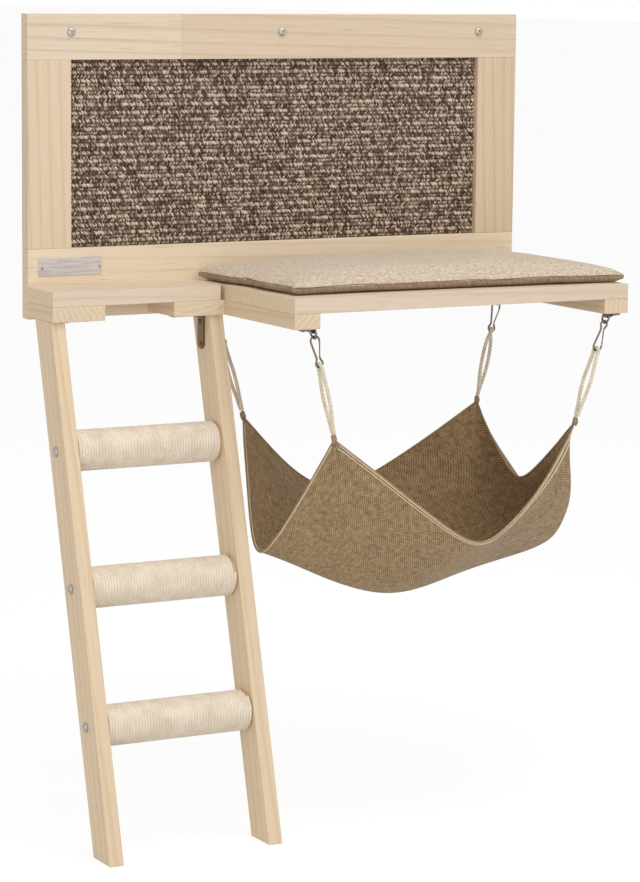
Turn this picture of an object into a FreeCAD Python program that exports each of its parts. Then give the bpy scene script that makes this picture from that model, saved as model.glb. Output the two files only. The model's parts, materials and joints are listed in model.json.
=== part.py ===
"""Wall mounted cat tree: framed scratch panel, L-shaped shelf, leaning ladder and a slung hammock.

Millimetres. The origin is the middle of the panel's rear face, on the wall: +X to the right,
-Y into the room, +Z up.
"""

import FreeCAD, Part
import math
import os

os.makedirs("parts", exist_ok=True)

V = FreeCAD.Vector
X_AXIS, Y_AXIS, Z_AXIS = V(1, 0, 0), V(0, 1, 0), V(0, 0, 1)

# --- stock and clearances -------------------------------------------------------------------
BOARD = 16.0  # planed pine of the panel, the shelf, the battens and the ladder
WOOD_GAP = 0.3  # play of a loose piece in its rebate
BORE_GAP = 0.1  # a fastener's radial play in its hole
WIRE_GAP = 0.3  # bent wire to what it hangs on
REST_GAP = 0.3  # soft goods to what they touch

# --- back panel -----------------------------------------------------------------------------
PANEL_W, PANEL_H = 600.0, 320.0
TOP_RAIL_H, FOOT_RAIL_H, FRAME_STILE_W = 48.0, 74.0, 50.0
BACKING_T, MAT_T = 3.0, 4.5
REBATE_W = 8.0
FRAME_DOWEL_R, FRAME_DOWEL_L = 4.0, 36.0
WALL_SCREW_PITCH, WALL_SCREW_DROP = 250.0, 19.0
WALL_SCREW_R, WALL_SHANK_R, WALL_SCREW_REACH = 2.25, 1.9, 35.0  # thread, plain shank, into the wall
WALL_HEAD_R, WALL_HEAD_H = 4.5, 2.6

# --- shelf ----------------------------------------------------------------------------------
SHELF_ABOVE_EDGE = 35.0  # shelf's top over the panel's lower edge
NARROW_W, NARROW_D = 200.0, 64.0
WIDE_D, SHELF_PAST_PANEL = 222.0, 10.0  # the wide part ends this far past the panel's end
RELIEF_W, RELIEF_D = 5.0, 12.0  # saw relief in the inner corner
LADDER_BATTEN_W, SHELF_BATTEN_W = 60.0, 30.0
SHELF_DOWEL_R, SHELF_DOWEL_L, SHELF_DOWEL_DEEP, SHELF_DOWEL_PITCH = 4.0, 32.0, 12.0, 220.0

# --- ladder ---------------------------------------------------------------------------------
LADDER_H = 546.0  # floor line of the feet to the batten
LADDER_LEAN = math.radians(15.0)
LADDER_SETBACK = 5.0  # ladder's front behind the narrow shelf's front
LADDER_STILE_D = 40.0  # square to the lean
RUNG_FIRST, RUNG_PITCH, RUNG_COUNT = 134.0, 139.0, 3
RUNG_CORE_R, RUNG_WRAP_T, RUNG_BACK = 19.0, 3.0, 3.0
BOLT_R, BOLT_L, BOLT_HEAD_R, BOLT_HEAD_H = 3.0, 50.0, 5.2, 3.0
BRACKET_LEG, BRACKET_W, BRACKET_T, BRACKET_PLACE = 38.0, 14.0, 2.0, 3.0

# --- hammock hardware -----------------------------------------------------------------------
HANG_INSET_X, HANG_INSET_FRONT, HANG_INSET_REAR = 24.0, 6.0, 8.5
HANG_REAR_SHIFT = 9.0  # the rear pair sits this far to the left of the front pair
STRAP_W, STRAP_T, STRAP_L = 9.0, 1.0, 15.0
WIRE_R = 1.1
DEE_HALF, DEE_DROP = 6.2, 8.2  # half the bar between the bends; bar to the bow, on wire centres
HOOK_L, HOOK_BIG_R, HOOK_EYE_R, HOOK_WAIST = 34.0, 5.0, 4.0, 1.8
GATE_R = 0.8
WIRE_SIDES, ROPE_SIDES = 6, 8  # bent wire and rope are faceted
BOW_STEPS, LEG_STEPS = 8, 6  # facets of a half turn and of a rope's leg
LEAN_X, LEAN_Y = math.radians(15.3), math.radians(4.6)
ROPE_R, ROPE_BOW = 2.0, 3.4
LEG_L = 111.3  # hook's top to the knot's middle
KNOT_R = 3.2
KNOT_GAP = 0.7  # rope loop's end to the knot, room for the sling's small turn

# --- sling ----------------------------------------------------------------------------------
CLOTH_T = 1.2
TIP_IN, TIP_DOWN = 1.0, 0.6  # cloth's tip, inwards of its knot's middle and below its foot
FRONT_DIP, FRONT_OUT, FRONT_SLIP = 110.0, 41.0, 5.0  # down, outwards and to the right
REAR_DIP, REAR_OUT, REAR_SLIP = 88.0, 16.0, -24.0
LEFT_DIP, LEFT_OUT = 131.0, 33.0
RIGHT_DIP, RIGHT_OUT = 73.0, -6.0
BELLY_LIFT = 19.0  # middle over what the four hems alone would give
SIDE_BAG, SIDE_BAG_POWER, SIDE_BAG_DROP = 74.0, 7.6, 39.0  # right end's bulge; the power moves it out
HEM_SAG, HEM_SAG_POWER = 16.0, 4.9  # right half of the front hem, below its straight line
FRONT_SOFT, REAR_SOFT = 0.2, 0.37  # rounding of a hem's low point, as a share of half the hem
LEFT_SOFT, RIGHT_SOFT = 0.29, 0.23
SLING_COLUMNS, SLING_ROWS = 24, 16  # facets along X and along Y

# --- cushion --------------------------------------------------------------------------------
PAD_REAR_GAP, PAD_LEFT_OVER, PAD_RIGHT_OVER = 5.0, 3.0, 4.0  # over the wide shelf's two ends
PAD_LEFT_INSET, PAD_FRONT_INSET, PAD_SKEW = 12.0, 24.0, 14.0  # front edge; its right end is further out
PAD_SIDE_LOW, PAD_SIDE_H, PAD_CROWN = 1.6, 8.6, 12.0
PAD_DRAW, PAD_SAG = 5.0, 1.2
PAD_COLUMNS, PAD_ROWS = 18, 10  # facets along X and along Y

# --- worked out -----------------------------------------------------------------------------
PANEL_X0, PANEL_X1 = -PANEL_W / 2, PANEL_W / 2
PANEL_Z0, PANEL_Z1 = -PANEL_H / 2, PANEL_H / 2
OPEN_X, OPEN_Z0, OPEN_Z1 = PANEL_X1 - FRAME_STILE_W, PANEL_Z0 + FOOT_RAIL_H, PANEL_Z1 - TOP_RAIL_H
REBATE_D = BACKING_T + MAT_T
SHELF_Z1 = PANEL_Z0 + SHELF_ABOVE_EDGE
SHELF_Z0 = SHELF_Z1 - BOARD
BATTEN_Z0 = SHELF_Z0 - BOARD
NARROW_Y, WIDE_Y = -BOARD - NARROW_D, -BOARD - WIDE_D
STEP_X, SHELF_X1 = PANEL_X0 + NARROW_W, PANEL_X1 + SHELF_PAST_PANEL
WIDE_W = SHELF_X1 - STEP_X
FEET_Z = BATTEN_Z0 - LADDER_H
LADDER_X0, LADDER_X1 = PANEL_X0, STEP_X
STILE_FLAT = LADDER_STILE_D / math.cos(LADDER_LEAN)  # stile's depth along Y
RUNG_ZS = [FEET_Z + RUNG_FIRST + RUNG_PITCH * i for i in range(RUNG_COUNT)]
RUNG_NAMES = ("bottom", "middle", "top")
HANG_MID_X = (STEP_X + SHELF_X1) / 2
HANG_HALF_X = WIDE_W / 2 - HANG_INSET_X
HANG_Y = {"f": WIDE_Y + HANG_INSET_FRONT, "r": -BOARD - HANG_INSET_REAR}
HANG_SHIFT = {"f": 0.0, "r": HANG_REAR_SHIFT}
STRAP_BEND_R = WIRE_R + WIRE_GAP  # inside of the strap's fold
BAR_Z = BATTEN_Z0 - STRAP_T - STRAP_BEND_R
HOOK_FROM_BAR = DEE_DROP - 2 * WIRE_R - WIRE_GAP
CORNERS = {"fl": (-1, "f"), "fr": (1, "f"), "rl": (-1, "r"), "rr": (1, "r")}
GATE_UP = {"fl": True, "fr": False, "rl": True, "rr": True}


def box(x0, x1, y0, y1, z0, z1):
    """Return a box between two corners given in any order."""
    low = V(min(x0, x1), min(y0, y1), min(z0, z1))
    return Part.makeBox(abs(x1 - x0), abs(y1 - y0), abs(z1 - z0), low)


def prism(points, direction):
    """Return the closed outline swept along a vector."""
    return Part.Face(Part.makePolygon(points + points[:1])).extrude(direction)


def rod(radius, length, base, axis):
    """Return a cylinder from its base along an axis."""
    return Part.makeCylinder(radius, length, base, axis)


def bores(solid, radius, length, places, axis):
    """Return the solid with a round hole from each place along the axis."""
    for place in places:
        solid = solid.cut(rod(radius, length, place, axis))
    return solid


def headed_rod(place, axis, radius, length, head_r, head_h):
    """Return a bolt or screw: its head on the surface at place, its shank along the axis."""
    bolt = rod(radius, length, V(), Z_AXIS).fuse(rod(head_r, head_h, V(0, 0, -head_h), Z_AXIS))
    return aim(bolt, place, axis)


def aim(shape, place, axis):
    """Return the shape with its own +Z turned onto the axis and its origin at place."""
    turned = shape.copy()
    turned.Placement = FreeCAD.Placement(place, FreeCAD.Rotation(Z_AXIS, axis))
    return turned


def ring_of(centre, tangent, radius, sides):
    """Return the corners of a regular polygon square to a direction."""
    across = X_AXIS if abs(tangent.dot(X_AXIS)) < math.sqrt(0.5) else Z_AXIS
    one = tangent.cross(across).normalize()
    two = tangent.cross(one).normalize()
    turns = [2 * math.pi * (i + 0.5) / sides for i in range(sides)]
    return [centre + one * (radius * math.cos(a)) + two * (radius * math.sin(a)) for a in turns]


def closed_solid(faces):
    """Return the solid that the faces enclose."""
    shell = Part.makeShell(faces)
    shell.sewShape()
    solid = Part.Solid(Part.Shell(shell.Faces))
    if solid.Volume < 0:
        solid.reverse()
    return solid


def flat_face(*points):
    """Return the flat face through its corner points."""
    return Part.Face(Part.makePolygon(list(points) + [points[0]]))


def band(one, two):
    """Return the flat faces between two rings with as many corners."""
    count = len(one)
    return [flat_face(one[i], one[(i + 1) % count], two[(i + 1) % count], two[i]) for i in range(count)]


def slid(points, way, at, normal):
    """Return the points moved along a direction onto a plane."""
    return [p + way * ((at - p).dot(normal) / way.dot(normal)) for p in points]


def tube(path, radius, sides, closed=False):
    """Return one faceted bar along a run of points, mitred at each of them."""
    ends = path[1:] + path[:1] if closed else path[1:]
    ways = [(b - a).normalize() for a, b in zip(path, ends)]
    mitres = [(a + b).normalize() for a, b in zip(ways, ways[1:])]
    seam = (ways[-1] + ways[0]).normalize() if closed else ways[0]
    normals = [seam] + mitres + ([] if closed else [ways[-1]])
    rings = [slid(ring_of(path[0], ways[0], radius, sides), ways[0], path[0], normals[0])]
    for i in range(1, len(path)):
        rings.append(slid(rings[-1], ways[i - 1], path[i], normals[i]))
    faces = [face for one, two in zip(rings, rings[1:]) for face in band(one, two)]
    if closed:
        return closed_solid(faces + band(rings[-1], rings[0]))
    return closed_solid(faces + [flat_face(*rings[0]), flat_face(*rings[-1])])


def arc_points(centre, radius, start, sweep, steps, one, two):
    """Return points along an arc from a start angle; its plane is spanned by two directions."""
    angles = [start + sweep * i / steps for i in range(steps + 1)]
    return [centre + one * (radius * math.cos(a)) + two * (radius * math.sin(a)) for a in angles]


def cloth_solid(upper, lower):
    """Return the closed solid of flat facets between two grids of points."""
    rows, columns = len(upper), len(upper[0])
    faces = []
    for grid in (upper, lower):
        for i in range(rows - 1):
            for j in range(columns - 1):
                a, b, c, d = grid[i][j], grid[i + 1][j], grid[i + 1][j + 1], grid[i][j + 1]
                faces += split_cell(a, b, c, d)
    hem = [(i, 0) for i in range(rows)] + [(rows - 1, j) for j in range(1, columns)]
    hem += [(i, columns - 1) for i in range(rows - 2, -1, -1)] + [(0, j) for j in range(columns - 2, 0, -1)]
    for (i, j), (k, m) in zip(hem, hem[1:] + hem[:1]):
        faces += split_cell(upper[i][j], upper[k][m], lower[k][m], lower[i][j])
    return closed_solid(faces)


def split_cell(a, b, c, d):
    """Return the two triangles of a cell, split along its shorter diagonal."""
    if (c - a).Length < (d - b).Length:
        return [flat_face(a, b, c), flat_face(a, c, d)]
    return [flat_face(a, b, d), flat_face(b, c, d)]


def save(name, shape):
    """Write one node; a list of solids becomes one group."""
    if isinstance(shape, list):
        shape = Part.makeCompound(shape)
    shape.exportStep("parts/" + name + ".step")


# --- back panel -----------------------------------------------------------------------------
def shelf_dowel_places():
    """Return where the shelf's dowels start inside the foot rail."""
    middle = (PANEL_X0 + PANEL_X1) / 2
    y, z = SHELF_DOWEL_DEEP - BOARD, (SHELF_Z0 + SHELF_Z1) / 2
    return [V(middle + SHELF_DOWEL_PITCH * i, y, z) for i in (-1, 0, 1)]


def wall_screw_places():
    """Return where the wall screws' heads sit on the top rail's front."""
    z = PANEL_Z1 - WALL_SCREW_DROP
    return [V(WALL_SCREW_PITCH * i, -BOARD, z) for i in (-1, 0, 1)]


def frame_dowel_places():
    """Return the lower end of each dowel that joins a stile to a rail."""
    mid = (OPEN_X + REBATE_W + PANEL_X1) / 2
    return [V(x, -BOARD / 2, z - FRAME_DOWEL_L / 2) for x in (-mid, mid) for z in (OPEN_Z0, OPEN_Z1)]


def frame_piece(x0, x1, z0, z1):
    """Return one frame member with its rebate and the holes of what fastens it."""
    piece = box(x0, x1, -BOARD, 0, z0, z1)
    rebate_x = OPEN_X + REBATE_W
    piece = piece.cut(box(-rebate_x, rebate_x, -REBATE_D, 0, OPEN_Z0 - REBATE_W, OPEN_Z1 + REBATE_W))
    base = [p - Z_AXIS * BORE_GAP for p in frame_dowel_places()]
    piece = bores(piece, FRAME_DOWEL_R + BORE_GAP, FRAME_DOWEL_L + 2 * BORE_GAP, base, Z_AXIS)
    base = [p + Y_AXIS * BORE_GAP for p in shelf_dowel_places()]
    piece = bores(piece, SHELF_DOWEL_R + BORE_GAP, SHELF_DOWEL_L + 2 * BORE_GAP, base, -Y_AXIS)
    return bores(piece, WALL_SCREW_R + BORE_GAP, BOARD, wall_screw_places(), Y_AXIS)


def loose_panel(y0, y1):
    """Return a board or mat that lies in the frame's rebate."""
    half_x = OPEN_X + REBATE_W - WOOD_GAP
    return box(-half_x, half_x, y0, y1, OPEN_Z0 - REBATE_W + WOOD_GAP, OPEN_Z1 + REBATE_W - WOOD_GAP)


def wall_screw(place):
    """Return a wall screw: head and plain shank in the rail, thread behind it in the wall."""
    screw = headed_rod(place, Y_AXIS, WALL_SHANK_R, BOARD, WALL_HEAD_R, WALL_HEAD_H)
    return screw.fuse(rod(WALL_SCREW_R, WALL_SCREW_REACH, place + Y_AXIS * BOARD, Y_AXIS))


def build_panel():
    """Write the frame, its board and mat, and what fastens them."""
    save("top_rail", frame_piece(PANEL_X0, PANEL_X1, OPEN_Z1, PANEL_Z1))
    save("foot_rail", frame_piece(PANEL_X0, PANEL_X1, PANEL_Z0, OPEN_Z0))
    save("frame_stile_left", frame_piece(PANEL_X0, -OPEN_X, OPEN_Z0, OPEN_Z1))
    save("frame_stile_right", frame_piece(OPEN_X, PANEL_X1, OPEN_Z0, OPEN_Z1))
    save("backing_board", loose_panel(-BACKING_T, 0))
    save("scratch_mat", loose_panel(-REBATE_D, -BACKING_T))
    save("frame_dowels", [rod(FRAME_DOWEL_R, FRAME_DOWEL_L, p, Z_AXIS) for p in frame_dowel_places()])
    save("wall_screws", [wall_screw(p) for p in wall_screw_places()])


# --- shelf ----------------------------------------------------------------------------------
def batten_spans():
    """Return each batten's name, X span and front end."""
    return {
        "ladder_batten_left": (PANEL_X0, PANEL_X0 + LADDER_BATTEN_W, NARROW_Y),
        "ladder_batten_right": (STEP_X - LADDER_BATTEN_W, STEP_X, NARROW_Y),
        "shelf_batten_left": (STEP_X, STEP_X + SHELF_BATTEN_W, WIDE_Y),
        "shelf_batten_right": (SHELF_X1 - SHELF_BATTEN_W, SHELF_X1, WIDE_Y),
    }


def shelf_board():
    """Return the L-shaped board with the saw relief in its inner corner."""
    outline = [(PANEL_X0, -BOARD), (PANEL_X0, NARROW_Y), (STEP_X - RELIEF_W, NARROW_Y),
               (STEP_X - RELIEF_W, NARROW_Y + RELIEF_D), (STEP_X, NARROW_Y + RELIEF_D),
               (STEP_X, WIDE_Y), (SHELF_X1, WIDE_Y), (SHELF_X1, -BOARD)]
    board = prism([V(x, y, SHELF_Z0) for x, y in outline], Z_AXIS * BOARD)
    base = [p + Y_AXIS * BORE_GAP for p in shelf_dowel_places()]
    return bores(board, SHELF_DOWEL_R + BORE_GAP, SHELF_DOWEL_L + 2 * BORE_GAP, base, -Y_AXIS)


def build_shelf():
    """Write the shelf board, its four battens and the dowels that carry it."""
    save("shelf_board", shelf_board())
    for name, (x0, x1, front) in batten_spans().items():
        save(name, box(x0, x1, front, -BOARD, BATTEN_Z0, SHELF_Z0))
    save("shelf_dowels", [rod(SHELF_DOWEL_R, SHELF_DOWEL_L, p, -Y_AXIS) for p in shelf_dowel_places()])


# --- ladder ---------------------------------------------------------------------------------
def stile_front(z):
    """Return the Y of the ladder's front at a height."""
    return NARROW_Y + LADDER_SETBACK - (BATTEN_Z0 - z) * math.tan(LADDER_LEAN)


def rung_y(z):
    """Return the Y of a rung's axis at a height."""
    return stile_front(z) + STILE_FLAT / 2 + RUNG_BACK


def ladder_stile(x0):
    """Return one leaning stile with level ends and its fasteners' holes."""
    outline = [V(x0, stile_front(BATTEN_Z0), BATTEN_Z0),
               V(x0, stile_front(BATTEN_Z0) + STILE_FLAT, BATTEN_Z0),
               V(x0, stile_front(FEET_Z) + STILE_FLAT, FEET_Z), V(x0, stile_front(FEET_Z), FEET_Z)]
    stile = prism(outline, X_AXIS * BOARD)
    for z in RUNG_ZS:
        stile = stile.cut(rod(BOLT_R + BORE_GAP, BOARD, V(x0, rung_y(z), z), X_AXIS))
    return stile


def bracket_y():
    """Return the Y of the brackets' middle line."""
    return stile_front(BATTEN_Z0) + STILE_FLAT / 2 - BRACKET_PLACE


def bracket(inner, way):
    """Return an angle bracket in the corner of a stile and its batten, with rounded ends."""
    y, z, end = bracket_y(), BATTEN_Z0, BRACKET_LEG - BRACKET_W / 2
    flat = box(inner, inner + way * end, y - BRACKET_W / 2, y + BRACKET_W / 2, z - BRACKET_T, z)
    flat = flat.fuse(rod(BRACKET_W / 2, BRACKET_T, V(inner + way * end, y, z - BRACKET_T), Z_AXIS))
    upright = box(inner, inner + way * BRACKET_T, y - BRACKET_W / 2, y + BRACKET_W / 2, z - end, z)
    upright = upright.fuse(rod(BRACKET_W / 2, BRACKET_T, V(inner, y, z - end), X_AXIS * way))
    return flat.fuse(upright).removeSplitter()


def rung_wrap(z):
    """Return the wound layer round a rung."""
    x0, length = LADDER_X0 + BOARD + WOOD_GAP, LADDER_X1 - LADDER_X0 - 2 * (BOARD + WOOD_GAP)
    centre = V(x0, rung_y(z), z)
    layer = rod(RUNG_CORE_R + RUNG_WRAP_T, length, centre, X_AXIS)
    return layer.cut(rod(RUNG_CORE_R, length, centre, X_AXIS))


def build_ladder():
    """Write the stiles, the rungs with their wound layers, the bolts and the brackets."""
    save("ladder_stile_left", ladder_stile(LADDER_X0))
    save("ladder_stile_right", ladder_stile(LADDER_X1 - BOARD))
    bolts = []
    for name, z in zip(RUNG_NAMES, RUNG_ZS):
        ends = [(V(LADDER_X0, rung_y(z), z), X_AXIS), (V(LADDER_X1, rung_y(z), z), -X_AXIS)]
        core = rod(RUNG_CORE_R, LADDER_X1 - LADDER_X0 - 2 * BOARD, ends[0][0] + X_AXIS * BOARD, X_AXIS)
        for place, axis in ends:
            core = core.cut(rod(BOLT_R + BORE_GAP, BOLT_L + BORE_GAP, place, axis))
            bolts.append(headed_rod(place, axis, BOLT_R, BOLT_L, BOLT_HEAD_R, BOLT_HEAD_H))
        save("rung_core_" + name, core)
        save("rung_wrap_" + name, rung_wrap(z))
    save("rung_bolts", bolts)
    save("bracket_left", bracket(LADDER_X0 + BOARD, 1))
    save("bracket_right", bracket(LADDER_X1 - BOARD, -1))


# --- hammock hardware: each corner is drawn hanging straight from its bar, then leaned --------
def bar_point(corner):
    """Return the middle of the D-ring's bar at a corner."""
    side, row = CORNERS[corner]
    return V(HANG_MID_X + side * HANG_HALF_X - HANG_SHIFT[row], HANG_Y[row], BAR_Z)


def turned(shape, centre, axis, angle):
    """Return the shape turned about a point by an angle in radians."""
    copy = shape.copy()
    copy.rotate(centre, axis, math.degrees(angle))
    return copy


def lean_ring(shape, corner):
    """Return what hangs on the ring, swung inwards about the bar."""
    return turned(shape, bar_point(corner), Y_AXIS, CORNERS[corner][0] * LEAN_X)


def hook_point(corner):
    """Return the middle of the hook's upper bend, where the hook rocks on the ring."""
    side = CORNERS[corner][0]
    offset = V(-side * math.sin(LEAN_X), 0, -math.cos(LEAN_X)) * HOOK_FROM_BAR
    return bar_point(corner) + offset


def lean_hook(shape, corner):
    """Return what hangs on the hook, swung inwards about the bar and then about the hook's bend."""
    inward = 1 if CORNERS[corner][1] == "f" else -1
    return turned(lean_ring(shape, corner), hook_point(corner), X_AXIS, inward * LEAN_Y)


def knot_point(corner):
    """Return the middle of a sling corner's knot."""
    side = CORNERS[corner][0]
    inward = 1 if CORNERS[corner][1] == "f" else -1
    down = LEG_L * math.cos(LEAN_X)
    return hook_point(corner) + V(-side * LEG_L * math.sin(LEAN_X), inward * down * math.sin(LEAN_Y),
                                  -down * math.cos(LEAN_Y))


def strap_outline(corner, lift, radius, far):
    """Return the strap's outline at a depth under the batten, folded round the bar at a radius."""
    side, bar = CORNERS[corner][0], bar_point(corner)
    start = V(bar.x, bar.y - STRAP_W / 2, BATTEN_Z0 - lift)
    slope = 3 * (STRAP_BEND_R + STRAP_T)
    bar = V(start.x, start.y, bar.z)
    fold = arc_points(bar, radius, math.pi / 2, math.pi, BOW_STEPS, X_AXIS * side, Z_AXIS)
    low = V(side * STRAP_BEND_R, 0, 0) + fold[-1]
    rise = V(start.x + side * (slope - lift), start.y, BATTEN_Z0 - far)
    return fold + [low, rise]


def strap(corner):
    """Return a hanger: a leaf under the batten, folded round the bar and laid back on itself."""
    side = CORNERS[corner][0]
    around = strap_outline(corner, 0, STRAP_BEND_R + STRAP_T, 2 * STRAP_T)
    end = V(bar_point(corner).x + side * STRAP_L, around[0].y, around[-1].z)
    leaf = prism(around + [end, end + Z_AXIS * (2 * STRAP_T)], Y_AXIS * STRAP_W)
    return leaf.cut(prism(strap_outline(corner, STRAP_T, STRAP_BEND_R, STRAP_T), Y_AXIS * STRAP_W))


def dee_ring(corner):
    """Return the D-ring: a straight bar in the strap's fold and a bow below it."""
    c = bar_point(corner)
    h, low = DEE_HALF, DEE_HALF - DEE_DROP
    bow = arc_points(V(0, 0, low), h, 0, -math.pi, BOW_STEPS, Y_AXIS, Z_AXIS)
    ring = tube([V(0, 0, 0), V(0, h, 0)] + bow + [V(0, -h, 0)], WIRE_R, WIRE_SIDES, closed=True)
    ring.translate(c)
    return lean_ring(ring, corner)


def hook_frame_points():
    """Return the bent wire's run in its own plane: nose, big bend, back, waist, eye and tail."""
    big, eye, waist = HOOK_BIG_R, HOOK_EYE_R, HOOK_WAIST
    open_half = math.asin(waist / eye) * 1.6
    nose = V(big, 0, -big - 2 * WIRE_R)
    bend = arc_points(V(0, 0, -big), big, 0, math.pi, BOW_STEPS, X_AXIS, Z_AXIS)
    start, sweep = math.pi / 2 + open_half, 2 * (math.pi - open_half)
    loop = arc_points(V(0, 0, eye - HOOK_L), eye, start, sweep, BOW_STEPS + 2, X_AXIS, Z_AXIS)
    throat = 2 * eye + waist - HOOK_L
    return [nose] + bend + [V(-waist, 0, throat)] + loop + [V(waist, 0, throat)]


def place_hook(shape, corner):
    """Return a piece drawn in the hook's own plane, hung on its ring."""
    piece = shape.copy()
    if not GATE_UP[corner]:
        piece.rotate(V(0, 0, -HOOK_L / 2), X_AXIS, 180)
    piece.translate(bar_point(corner) - Z_AXIS * HOOK_FROM_BAR)
    return lean_hook(piece, corner)


def snap_hook(corner):
    """Return the snap hook's bent wire frame."""
    return place_hook(tube(hook_frame_points(), WIRE_R, WIRE_SIDES), corner)


def gate_ends():
    """Return the gate's lower end, its hinge, and its upper end in the hook's plane."""
    nose, tail = hook_frame_points()[0], hook_frame_points()[-1]
    foot = tail + Z_AXIS * (GATE_R + WIRE_GAP)
    tip = nose - Z_AXIS * (GATE_R + WIRE_GAP)
    return foot, tip


def hook_gate(corner):
    """Return the sprung gate that closes the hook between its tail and its nose."""
    foot, tip = gate_ends()
    return place_hook(tube([foot, tip], GATE_R, WIRE_SIDES), corner)


def rope_loop(corner):
    """Return the rope: up from the sling's corner, over the hook's lower bend and back down."""
    turn_r = WIRE_R + WIRE_GAP + ROPE_R
    top = -HOOK_L
    low = -LEG_L + KNOT_R + KNOT_GAP
    foot = ROPE_R + BORE_GAP
    over = arc_points(V(0, 0, top), turn_r, 0, math.pi, BOW_STEPS, Y_AXIS, Z_AXIS)
    fall = top - low
    shares = [(i + 1) / LEG_STEPS for i in range(LEG_STEPS)]
    leg = [V(0, turn_r + (foot - turn_r) * k + ROPE_BOW * math.sin(math.pi * k) ** 2, top - fall * k)
           for k in shares]
    back = [V(0, -p.y, p.z) for p in leg]
    loop = tube(leg[::-1] + over + back, ROPE_R, ROPE_SIDES)
    loop.translate(bar_point(corner) - Z_AXIS * HOOK_FROM_BAR)
    return lean_hook(loop, corner)


def knot(corner):
    """Return the knot that closes a rope loop on the sling's corner."""
    centre, slim = knot_point(corner), KNOT_R * math.sqrt(0.5)
    layers = ((-KNOT_R, slim / 2), (-slim, slim), (0, KNOT_R), (slim, slim), (KNOT_R, slim / 2))
    rings = [ring_of(centre + Z_AXIS * z, Z_AXIS, r, ROPE_SIDES) for z, r in layers]
    faces = [face for one, two in zip(rings, rings[1:]) for face in band(one, two)]
    return closed_solid(faces + [flat_face(*rings[0]), flat_face(*rings[-1])])


def build_hangers():
    """Write the hardware and the rope of each corner."""
    for corner in CORNERS:
        save("hanger_strap_" + corner, strap(corner))
        save("dee_ring_" + corner, dee_ring(corner))
        save("snap_hook_" + corner, snap_hook(corner))
        save("hook_gate_" + corner, hook_gate(corner))
        save("rope_loop_" + corner, rope_loop(corner))
        save("corner_knot_" + corner, knot(corner))


# --- sling ----------------------------------------------------------------------------------
def fold(s, soft):
    """Return a hem's fall at s from -1 to 1: straight from both ends to a rounded low point."""
    top = math.hypot(1, soft)
    return (top - math.hypot(s, soft)) / (top - soft)


def hump(s, power):
    """Return a bulge from 0 at s -1 over 1 to 0 at s 1; the power moves its top to the right."""
    peak = (power - 1) / (power + 1)
    return (1 - s) * (1 + s) ** power / ((1 - peak) * (1 + peak) ** power)


def sling_corner(corner):
    """Return the cloth's tip just under a knot."""
    middle = V(HANG_MID_X - HANG_REAR_SHIFT / 2, (HANG_Y["f"] + HANG_Y["r"]) / 2, 0)
    tip = knot_point(corner)
    inward = V(middle.x - tip.x, middle.y - tip.y, 0).normalize()
    return tip + inward * TIP_IN - Z_AXIS * (KNOT_R + REST_GAP + TIP_DOWN)


def sling_point(s, t):
    """Return the cloth's middle layer at s along X and t along Y, each from -1 to 1."""
    fl, fr, rl, rr = (sling_corner(c) for c in ("fl", "fr", "rl", "rr"))
    a, b = (1 + s) / 2, (1 + t) / 2
    flat = (fl * (1 - a) + fr * a) * (1 - b) + (rl * (1 - a) + rr * a) * b
    rows = V(FRONT_SLIP, -FRONT_OUT, -FRONT_DIP) * (1 - b) + V(REAR_SLIP, REAR_OUT, -REAR_DIP) * b
    columns = V(-LEFT_OUT, 0, -LEFT_DIP) * (1 - a) + V(RIGHT_OUT, 0, -RIGHT_DIP) * a
    point = flat + rows * fold(s, FRONT_SOFT * (1 - b) + REAR_SOFT * b)
    point = point + columns * fold(t, LEFT_SOFT * (1 - a) + RIGHT_SOFT * a)
    belly = (1 - s * s) * (1 - t * t)
    bag = hump(s, SIDE_BAG_POWER) * (1 - t * t)
    fall = BELLY_LIFT * belly - SIDE_BAG_DROP * bag - HEM_SAG * hump(s, HEM_SAG_POWER) * (1 - b) ** 2
    return point + V(SIDE_BAG * bag, 0, fall)


def sling_grid(offset):
    """Return the cloth's grid moved along its normals."""
    step = 1e-3
    grid = []
    for i in range(SLING_COLUMNS + 1):
        row = []
        for j in range(SLING_ROWS + 1):
            s, t = -1 + 2 * i / SLING_COLUMNS, -1 + 2 * j / SLING_ROWS
            along_s = sling_point(min(1, s + step), t) - sling_point(max(-1, s - step), t)
            along_t = sling_point(s, min(1, t + step)) - sling_point(s, max(-1, t - step))
            row.append(sling_point(s, t) + along_s.cross(along_t).normalize() * offset)
        grid.append(row)
    return grid


def build_sling():
    """Write the hammock's cloth, hung by its four corners."""
    save("hammock_sling", cloth_solid(sling_grid(CLOTH_T / 2), sling_grid(-CLOTH_T / 2)))


# --- cushion --------------------------------------------------------------------------------
def cushion_corners():
    """Return the cushion's corners in plan: front left, front right, rear left, rear right."""
    front, rear = WIDE_Y + PAD_FRONT_INSET, -BOARD - PAD_REAR_GAP
    x1 = SHELF_X1 + PAD_RIGHT_OVER
    return (V(STEP_X + PAD_LEFT_INSET, front, 0), V(x1, front - PAD_SKEW, 0),
            V(STEP_X - PAD_LEFT_OVER, rear, 0), V(x1, rear, 0))


def cushion_point(s, t, top):
    """Return a point of the upper or lower cover, drawn in along its sides."""
    fl, fr, rl, rr = cushion_corners()
    half_x, half_y = (fr.x - rl.x) / 2, (rl.y - fl.y) / 2
    full = (1 - s**6) * (1 - t**6)
    z = PAD_SIDE_LOW * (1 - full)
    if top:
        z = PAD_SIDE_LOW + PAD_SIDE_H + PAD_CROWN * (1 - s**4) * (1 - t**6) - PAD_SAG * s * s * t * t
    a = (1 + s * (1 - PAD_DRAW / half_x * (1 - t * t))) / 2
    b = (1 + t * (1 - PAD_DRAW / half_y * (1 - s * s))) / 2
    plan = (fl * (1 - a) + fr * a) * (1 - b) + (rl * (1 - a) + rr * a) * b
    return plan + Z_AXIS * (SHELF_Z1 + REST_GAP + z)


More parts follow.
